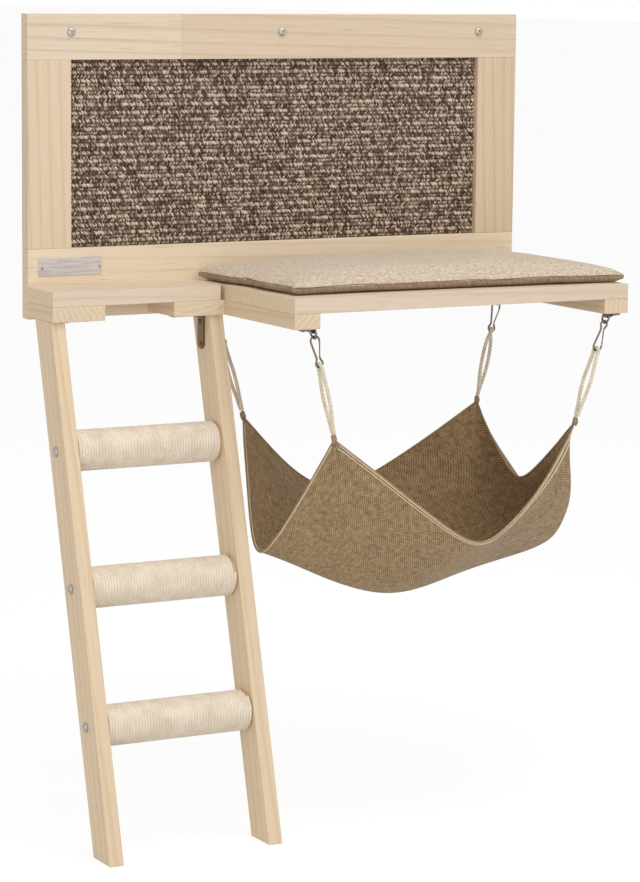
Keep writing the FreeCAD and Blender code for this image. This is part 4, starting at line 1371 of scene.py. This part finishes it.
# --- the sling ------------------------------------------------------------------------------
@dataclass
class Sling:
    """The hammock's burlap, hung by four corners, with its stitched hems.

    Flat is the cloth's size when it is spread out and is not used, and woven is the size of the map of its
    threads.
    """

    corners: dict[str, Vector]
    columns: int = 144
    rows: int = 104
    thick: float = 1.2 * MM
    flat: tuple[float, float] = (0.42, 0.33)
    woven: tuple[float, float] = (0.40, 0.28)

    @staticmethod
    def fold(s: float, soft: float) -> float:
        """Return a hem's fall: straight from both ends to a rounded low point."""
        top = math.hypot(1, soft)
        return (top - math.hypot(s, soft)) / (top - soft)

    @staticmethod
    def hump(s: float, power: float) -> float:
        """Return a bulge from 0 over 1 to 0; the power moves its top to the right."""
        peak = (power - 1) / (power + 1)
        return (1 - s) * (1 + s) ** power / ((1 - peak) * (1 + peak) ** power)

    def tip(self, corner: str) -> Vector:
        """Return the cloth's tip just under a knot."""
        knot = self.corners[corner]
        inward = Vector((SLING_X - knot.x, TIP_Y - knot.y, 0)).normalized()
        return knot + inward * (1.0 * MM) - Vector((0, 0, 4.1 * MM))

    def plain(self, s: float, t: float) -> Vector:
        """Return the cloth's middle layer before its creases, at s along X and t along Y."""
        fl, fr, rl, rr = (self.tip(c) for c in ("fl", "fr", "rl", "rr"))
        a, b = (1 + s) / 2, (1 + t) / 2
        flat = (fl * (1 - a) + fr * a) * (1 - b) + (rl * (1 - a) + rr * a) * b
        rows = Vector((5, -41, -110)) * (1 - b) + Vector((-24, 16, -88)) * b
        columns = Vector((-33, 0, -131)) * (1 - a) + Vector((-6, 0, -73)) * a
        point = flat + rows * self.fold(s, 0.2 * (1 - b) + 0.37 * b) * MM
        point = point + columns * self.fold(t, 0.29 * (1 - a) + 0.23 * a) * MM
        bag = self.hump(s, 7.6) * (1 - t * t)
        fall = 19 * (1 - s * s) * (1 - t * t) - 39 * bag - 16 * self.hump(s, 4.9) * (1 - b) ** 2
        return point + Vector((74 * bag, 0, fall)) * MM

    def crease(self, s: float, t: float) -> float:
        """Return how far the cloth's creases lift it off its plain shape, in millimetres."""
        lift = 0.0
        for cs, ct, depth, count, phase in ((-1, -1, 1.5, 5, 0.4), (1, -1, 1.7, 6, 1.9),
                                            (-1, 1, 1.2, 5, 2.6), (1, 1, 1.2, 4, 0.9)):
            ds, dt = abs(s - cs) / 2, abs(t - ct) / 2
            far = math.hypot(ds, dt)
            angle = math.atan2(dt, ds)
            fade = math.exp(-((far - 0.16) / 0.2) ** 2) * min(1.0, far / 0.07)
            lift += depth * fade * math.sin(angle * count * 2 + phase + far * 5)
        edge = (1 - s**8) * (1 - t**8)
        lift += 1.0 * edge * math.sin(5.3 * s + 2.2 * t + 0.8) * math.sin(4.1 * t - 2.9 * s)
        lift += 1.8 * math.exp(-((s - 0.8) / 0.035) ** 2) * (1 - t * t) * edge
        return lift

    @staticmethod
    def facing(surface: Callable[[float, float], Vector], s: float, t: float) -> Vector:
        """Return the way that a surface over s and t faces there."""
        step = 1e-3
        along_s = surface(min(1, s + step), t) - surface(max(-1, s - step), t)
        along_t = surface(s, min(1, t + step)) - surface(s, max(-1, t - step))
        return along_s.cross(along_t).normalized()

    def point(self, s: float, t: float) -> Vector:
        """Return the cloth's middle layer with its creases."""
        return self.plain(s, t) + self.facing(self.plain, s, t) * (self.crease(s, t) * MM)

    def build_cloth(self, burlap: bpy.types.Material) -> bpy.types.Object:
        """Make the cloth.

        Args:
            burlap: Its material.

        Returns:
            The cloth.
        """
        verts, faces = [], []
        for i in range(self.columns + 1):
            for j in range(self.rows + 1):
                verts.append(self.point(-1 + 2 * i / self.columns, -1 + 2 * j / self.rows))
        wide = self.rows + 1
        for i in range(self.columns):
            for j in range(self.rows):
                a = i * wide + j
                faces.append((a, a + wide, a + wide + 1, a + 1))
        cloth = mesh_piece("burlap_sling", verts, faces)
        layer = cloth.data.uv_layers.new(name="weave")
        for loop in cloth.data.loops:
            i, j = divmod(loop.vertex_index, wide)
            layer.data[loop.index].uv = (self.woven[0] * i / self.columns, self.woven[1] * j / self.rows)
        solid = cloth.modifiers.new("thick", "SOLIDIFY")
        solid.thickness, solid.offset = self.thick, 0
        cloth = evaluated(cloth)
        smooth_all(cloth)
        dress(cloth, burlap)
        return cloth

    def edge(self, which: str, inset: float, lift: float) -> Points:
        """Return a line along a hem.

        Args:
            which: front, rear, left or right.
            inset: Share of the half cloth that the line lies inwards.
            lift: Distance off the cloth in metres, inwards of the sling.

        Returns:
            The line's points.
        """
        points, steps, reach = [], 160, 0.985
        for i in range(steps + 1):
            run = -reach + 2 * reach * i / steps
            s, t = {"front": (run, -1 + inset), "rear": (run, 1 - inset), "left": (-1 + inset, run),
                    "right": (1 - inset, run)}[which]
            points.append(self.point(s, t) + self.facing(self.point, s, t) * lift)
        return points

    def build_hems(self, band: bpy.types.Material, thread: bpy.types.Material) -> list[bpy.types.Object]:
        """Bind the four hems with a folded band, and sew cream thread along the front and left ones.

        Args:
            band: The folded band's material.
            thread: The thread's material.

        Returns:
            The hems' pieces.
        """
        made = []
        for which in ("front", "rear", "left", "right"):
            fold = sweep("hem_fold_" + which, self.edge(which, 0.0, 0.0), 1.1 * MM, 10)
            dress(fold, band)
            made.append(fold)
            insets = {"front": (0.004, 0.022), "left": (0.004,)}.get(which)
            if insets is None:
                continue
            lines = [sweep("line", self.edge(which, inset, lift)[2:-2], 0.65 * MM, 6)
                     for inset in insets for lift in (0.95 * MM, -0.95 * MM)]
            stitched = joined("hem_thread_" + which, lines)
            smooth_all(stitched)
            dress(stitched, thread)
            made.append(stitched)
        return made

    def build(self, burlap: bpy.types.Material) -> None:
        """Make the whole sling.

        Args:
            burlap: The cloth's material.
        """
        cloth = self.build_cloth(burlap)
        band = Fibre("hem_band", (176, 150, 116), (120, 98, 72), 900).build()
        thread = Fibre("hem_thread", (236, 220, 194), (204, 184, 152), 1500).build()
        hems = self.build_hems(band, thread)
        place(cloth, "sling", "sling_burlap", "hammock_sling")
        for piece in hems:
            place(piece, "sling", "sling_burlap")


# --- the cushion ----------------------------------------------------------------------------
@dataclass
class Cushion:
    """The loose linen cushion: a thin filled pad with a boxed side and a seam near the side's top."""

    low: tuple[float, float] = (-0.103, -0.228)
    high: tuple[float, float] = (0.314, -0.021)
    front_left: tuple[float, float] = (-0.088, -0.214)
    half: tuple[float, float] = (0.2085, 0.0965)
    bow: float = 5 * MM
    seam_up: float = 8.3 * MM
    floor: float = SHELF_TOP + 0.3 * MM
    columns: int = 76
    rows: int = 46

    def plan(self, shrink: float) -> tuple[Vector, Vector, Vector, Vector]:
        """Return the corners in plan, front left, front right, rear left, rear right, drawn in."""
        left, right = self.low[0] + shrink, self.high[0] - shrink
        front, rear = self.low[1] + shrink, self.high[1] - shrink
        return (Vector((self.front_left[0] + shrink, self.front_left[1] + shrink, 0)),
                Vector((right, front, 0)), Vector((left, rear, 0)), Vector((right, rear, 0)))

    def cover(self, s: float, t: float, top: bool, shrink: float) -> Vector:
        """Return a point of the upper or lower cover.

        Args:
            s: Place along X, from -1 to 1.
            t: Place along Y, from -1 to 1.
            top: Whether it is the upper cover.
            shrink: How far the sides are drawn in, in metres.

        Returns:
            The point.
        """
        fl, fr, rl, rr = self.plan(shrink)
        s, t = math.sin(math.pi / 2 * s), math.sin(math.pi / 2 * t)
        a = (1 + s * (1 - self.bow / self.half[0] * (1 - t * t))) / 2
        b = (1 + t * (1 - self.bow / self.half[1] * (1 - s * s))) / 2
        z = 1.6 * MM * (1 - (1 - s**6) * (1 - t**6))
        if top:
            z = (10.2 + 12.0 * (1 - s**4) * (1 - t**6) - 1.2 * s * s * t * t) * MM - shrink * 0.8
        wave = 2.2 * MM * math.sin(7 * t + 1.1) * max(0.0, -s) ** 8
        flat = (fl * (1 - a) + fr * a) * (1 - b) + (rl * (1 - a) + rr * a) * b
        return flat + Vector((wave, 0, self.floor + z))

    def shell(self, shrink: float) -> bpy.types.Object:
        """Return the pad's closed cover before it is filled."""
        verts, faces, wide = [], [], self.rows + 1
        for top in (True, False):
            for i in range(self.columns + 1):
                for j in range(self.rows + 1):
                    verts.append(self.cover(-1 + 2 * i / self.columns, -1 + 2 * j / self.rows, top, shrink))
        size = (self.columns + 1) * wide
        for i in range(self.columns):
            for j in range(self.rows):
                a = i * wide + j
                faces.append((a, a + wide, a + wide + 1, a + 1))
                faces.append((size + a, size + a + 1, size + a + wide + 1, size + a + wide))
        rim = [i * wide for i in range(self.columns + 1)]
        rim += [self.columns * wide + j for j in range(1, self.rows + 1)]
        rim += [i * wide + self.rows for i in range(self.columns - 1, -1, -1)]
        rim += [j for j in range(self.rows - 1, 0, -1)]
        for a, b in zip(rim, rim[1:] + rim[:1]):
            faces.append((b, a, size + a, size + b))
        return mesh_piece("linen_cushion", verts, faces)

    def fill(self, pad: bpy.types.Object) -> bpy.types.Object:
        """Swell the pad by pressure and let it lie on the shelf.

        Args:
            pad: The pad; it is used up.

        Returns:
            The filled pad.
        """
        step = pad.modifiers.new("remesh", "REMESH")
        step.mode, step.voxel_size = "VOXEL", 4.5 * MM
        pad = evaluated(pad)
        rest = [v.co.copy() for v in pad.data.vertices]
        cloth = pad.modifiers.new("swell", "CLOTH")
        settings = cloth.settings
        settings.use_pressure, settings.uniform_pressure_force = True, 4
        settings.effector_weights.gravity = 0
        settings.quality = 6
        frames, furthest = 20, 5 * MM
        for frame_number in range(1, frames + 1):
            bpy.context.scene.frame_set(frame_number)
        pad = evaluated(pad)
        for vert, start in zip(pad.data.vertices, rest):
            move = vert.co - start
            if move.length > furthest:
                vert.co = start + move.normalized() * furthest
            vert.co.z = max(vert.co.z, self.floor)
        for axis in (0, 1):
            reach = [vert.co[axis] for vert in pad.data.vertices]
            low, high = min(reach), max(reach)
            for vert in pad.data.vertices:
                share = (vert.co[axis] - low) / (high - low)
                vert.co[axis] = self.low[axis] + share * (self.high[axis] - self.low[axis])
        bpy.context.scene.frame_set(1)
        return pad

    def seam(self, pad: bpy.types.Object) -> bpy.types.Object:
        """Run the seam round the pad, on its surface near the top of the side.

        Args:
            pad: The filled pad.

        Returns:
            The seam.
        """
        graph = bpy.context.evaluated_depsgraph_get()
        graph.update()
        tree = BVHTree.FromObject(pad, graph)
        mid = Vector(((self.low[0] + self.high[0]) / 2, (self.low[1] + self.high[1]) / 2, 0))
        path, count = [], 420
        for i in range(count):
            angle = 2 * math.pi * i / count
            reach = Vector((math.cos(angle) * 0.32, math.sin(angle) * 0.16, 0))
            wave = 0.35 * math.sin(angle * 11) + 0.3 * math.sin(angle * 17 + 1)
            start = mid + reach + Vector((0, 0, self.floor + self.seam_up + wave * MM))
            hit = tree.ray_cast(start, -reach.normalized())[0]
            if hit is not None:
                path.append(hit)
        return sweep("cushion_seam", bent(path, 1.6 * MM, 2, closed=True), 0.45 * MM, 6, closed=True)

    def build(self) -> None:
        """Make the cushion, with painted shade on its lower side band, and its seam."""
        pad = self.shell(1.2 * MM)
        pad = self.fill(pad)
        smooth = pad.modifiers.new("smooth", "SUBSURF")
        smooth.levels = 1
        pad = evaluated(pad)
        smooth_all(pad)
        layer = pad.data.uv_layers.get("weave") or pad.data.uv_layers.new(name="weave")
        for loop in pad.data.loops:
            point = pad.data.vertices[loop.vertex_index].co
            layer.data[loop.index].uv = (point.x + point.z * 0.4, point.y + point.z * 0.7)
        linen = Weave("linen", (244, 229, 207), (146, 124, 98), 3.0 * MM, 0.36, 0.04, 0.2, 260.0)
        dress(pad, linen.build())
        # Painted shade: the lower side band gets a darker copy of the same linen, for the shade on the side
        # that faces away from the lamps.
        side = Weave("linen_side", (186, 162, 134), (112, 90, 66), 3.0 * MM, 0.36, 0.04, 0.1, 260.0)
        pad.data.materials.append(side.build())
        for face in pad.data.polygons:
            if face.center.z < self.floor + self.seam_up and face.normal.z < 0.5:
                face.material_index = 1
        seam = self.seam(pad)
        dress(seam, Fibre("seam_thread", (134, 112, 88), (96, 78, 58), 1400).build())
        place(pad, "cushion", "cushion_linen", "cushion")
        place(seam, "cushion", "cushion_linen")


# --- studio ---------------------------------------------------------------------------------
LAMP_AIM = Vector((0, -0.1, -0.3))
SENSOR, FOCAL_PX, PHOTO_PX = 36, 3128.697, 882


@dataclass(frozen=True)
class Lamp:
    """A soft square lamp that faces the object."""

    name: str
    place: tuple[float, float, float]
    power: float
    size: float
    tint: tuple[float, float, float] = (1.0, 1.0, 1.0)

    def build(self) -> None:
        """Hang the lamp."""
        data = bpy.data.lights.new(self.name, "AREA")
        data.energy, data.size, data.color = self.power, self.size, self.tint
        lamp = bpy.data.objects.new(self.name, data)
        lamp.location = self.place
        way = LAMP_AIM - Vector(self.place)
        lamp.rotation_euler = way.to_track_quat("-Z", "Y").to_euler()
        bpy.context.scene.collection.objects.link(lamp)


class Studio:
    """The floor, the white surround, the lamps and the camera."""

    def build_world(self) -> None:
        """Make a surround that looks white and lights the object modestly."""
        world = bpy.data.worlds.new("surround")
        bpy.context.scene.world = world
        world.use_nodes = True
        world.node_tree.nodes.clear()
        tree = Tree(world.node_tree)
        seen = self.seen(tree)
        strength = tree.add("ShaderNodeMapRange", {0: seen, 3: 0.6, 4: 1.0}).outputs[0]
        light = tree.add("ShaderNodeBackground", {"Color": (1, 1, 1, 1), "Strength": strength})
        tree.add("ShaderNodeOutputWorld", {0: light.outputs[0]})

    def seen(self, tree: Tree) -> bpy.types.NodeSocket:
        """Return 1 for what the camera sees, also through glass and in metal."""
        rays = tree.add("ShaderNodeLightPath").outputs
        seen = tree.math("MAXIMUM", rays["Is Camera Ray"], rays["Is Glossy Ray"])
        return tree.math("MAXIMUM", seen, rays["Is Transmission Ray"])

    def build_floor(self) -> None:
        """Lay the pale floor under the ladder's feet."""
        floor = mesh_piece("studio_floor", [(-30, -30, FEET_Z), (30, -30, FEET_Z), (30, 60, FEET_Z),
                                            (-30, 60, FEET_Z)], [(0, 1, 2, 3)])
        material = bpy.data.materials.new("floor_paper")
        material.use_nodes = True
        material.node_tree.nodes.clear()
        tree = Tree(material.node_tree)
        matt = tree.add("ShaderNodeBsdfDiffuse", {"Color": (0.86, 0.86, 0.85, 1)}).outputs[0]
        glow = tree.add("ShaderNodeEmission", {"Color": (1, 1, 1, 1), "Strength": 1.1}).outputs[0]
        share = tree.math("MULTIPLY", self.seen(tree), 0.76)
        mixed = tree.add("ShaderNodeMixShader", {0: share, 1: matt, 2: glow}).outputs[0]
        tree.add("ShaderNodeOutputMaterial", {0: mixed})
        dress(floor, material)

    def build_camera(self) -> None:
        """Set the camera at the photograph's place and angle."""
        data = bpy.data.cameras.new("view")
        data.sensor_width, data.sensor_fit = SENSOR, "AUTO"
        data.lens = SENSOR * FOCAL_PX / PHOTO_PX
        data.clip_end = 200
        camera = bpy.data.objects.new("view", data)
        right = Vector((0.87762659, -0.47923586, 0.01022569))
        up = Vector((0.06305641, 0.13657016, 0.9886215))
        back = -Vector((0.4751794, 0.86699572, -0.1500765))
        turn = Matrix((right, up, back)).transposed().to_4x4()
        camera.matrix_world = Matrix.Translation((-1.605907, -3.041455, 0.211914)) @ turn
        bpy.context.scene.collection.objects.link(camera)
        bpy.context.scene.camera = camera

    def build(self) -> None:
        """Make the whole studio."""
        self.build_world()
        self.build_floor()
        self.build_camera()
        for lamp in (Lamp("key", (1.1, -2.4, 1.3), 11, 1.6),
                     Lamp("fill", (-2.4, -1.6, 0.5), 11.5, 2.0, (1.0, 0.9, 0.76)),
                     Lamp("top", (0.1, -0.9, 2.2), 24, 1.6), Lamp("low", (-0.7, -2.7, -0.1), 5.5, 1.2)):
            lamp.build()
        bpy.context.scene.view_settings.view_transform = "Standard"


# --- the whole ------------------------------------------------------------------------------
@dataclass
class CatTree:
    """The whole cat tree, in the order that it is put together."""

    burlap: bpy.types.Material
    hangers: list[Hanger] = field(default_factory=list)

    def build_hangers(self) -> None:
        """Make the four corners and the screws of their straps."""
        steel = Metal("aged_nickel_wire", (142, 130, 118), 0.34).build()
        rope = Fibre("cotton_rope", (242, 232, 212), (204, 188, 162), 1300).build()
        wear = steel, rope
        self.hangers = [Hanger("fl", -1, True, *wear), Hanger("fr", 1, True, *wear, flipped=True),
                        Hanger("rl", -1, False, *wear), Hanger("rr", 1, False, *wear)]
        for hanger in self.hangers:
            hanger.build()
        spots = [hanger.strap_screw() for hanger in self.hangers]
        small = Head(2.1 * MM, 1.0 * MM, Recess.CROSS, 2.4 * MM).build()
        place(set_fittings("strap_screws", small, spots, steel, 11), "frame", "hanger_steel")

    def build(self) -> None:
        """Make every sub-assembly."""
        Panel().build()
        Shelf().build()
        Ladder().build()
        self.build_hangers()
        Sling({hanger.corner: hanger.knot for hanger in self.hangers}).build(self.burlap)
        Cushion().build()


def main() -> None:
    """Build the studio and the cat tree."""
    logging.basicConfig(level=logging.INFO, format="%(name)s: %(message)s")
    random.seed(8)
    Studio().build()
    CatTree(Weave("burlap", (196, 166, 126), (88, 68, 46), 2.9 * MM, 0.34, 0.08, run=150.0).build()).build()


if __name__ == "__main__":
    main()
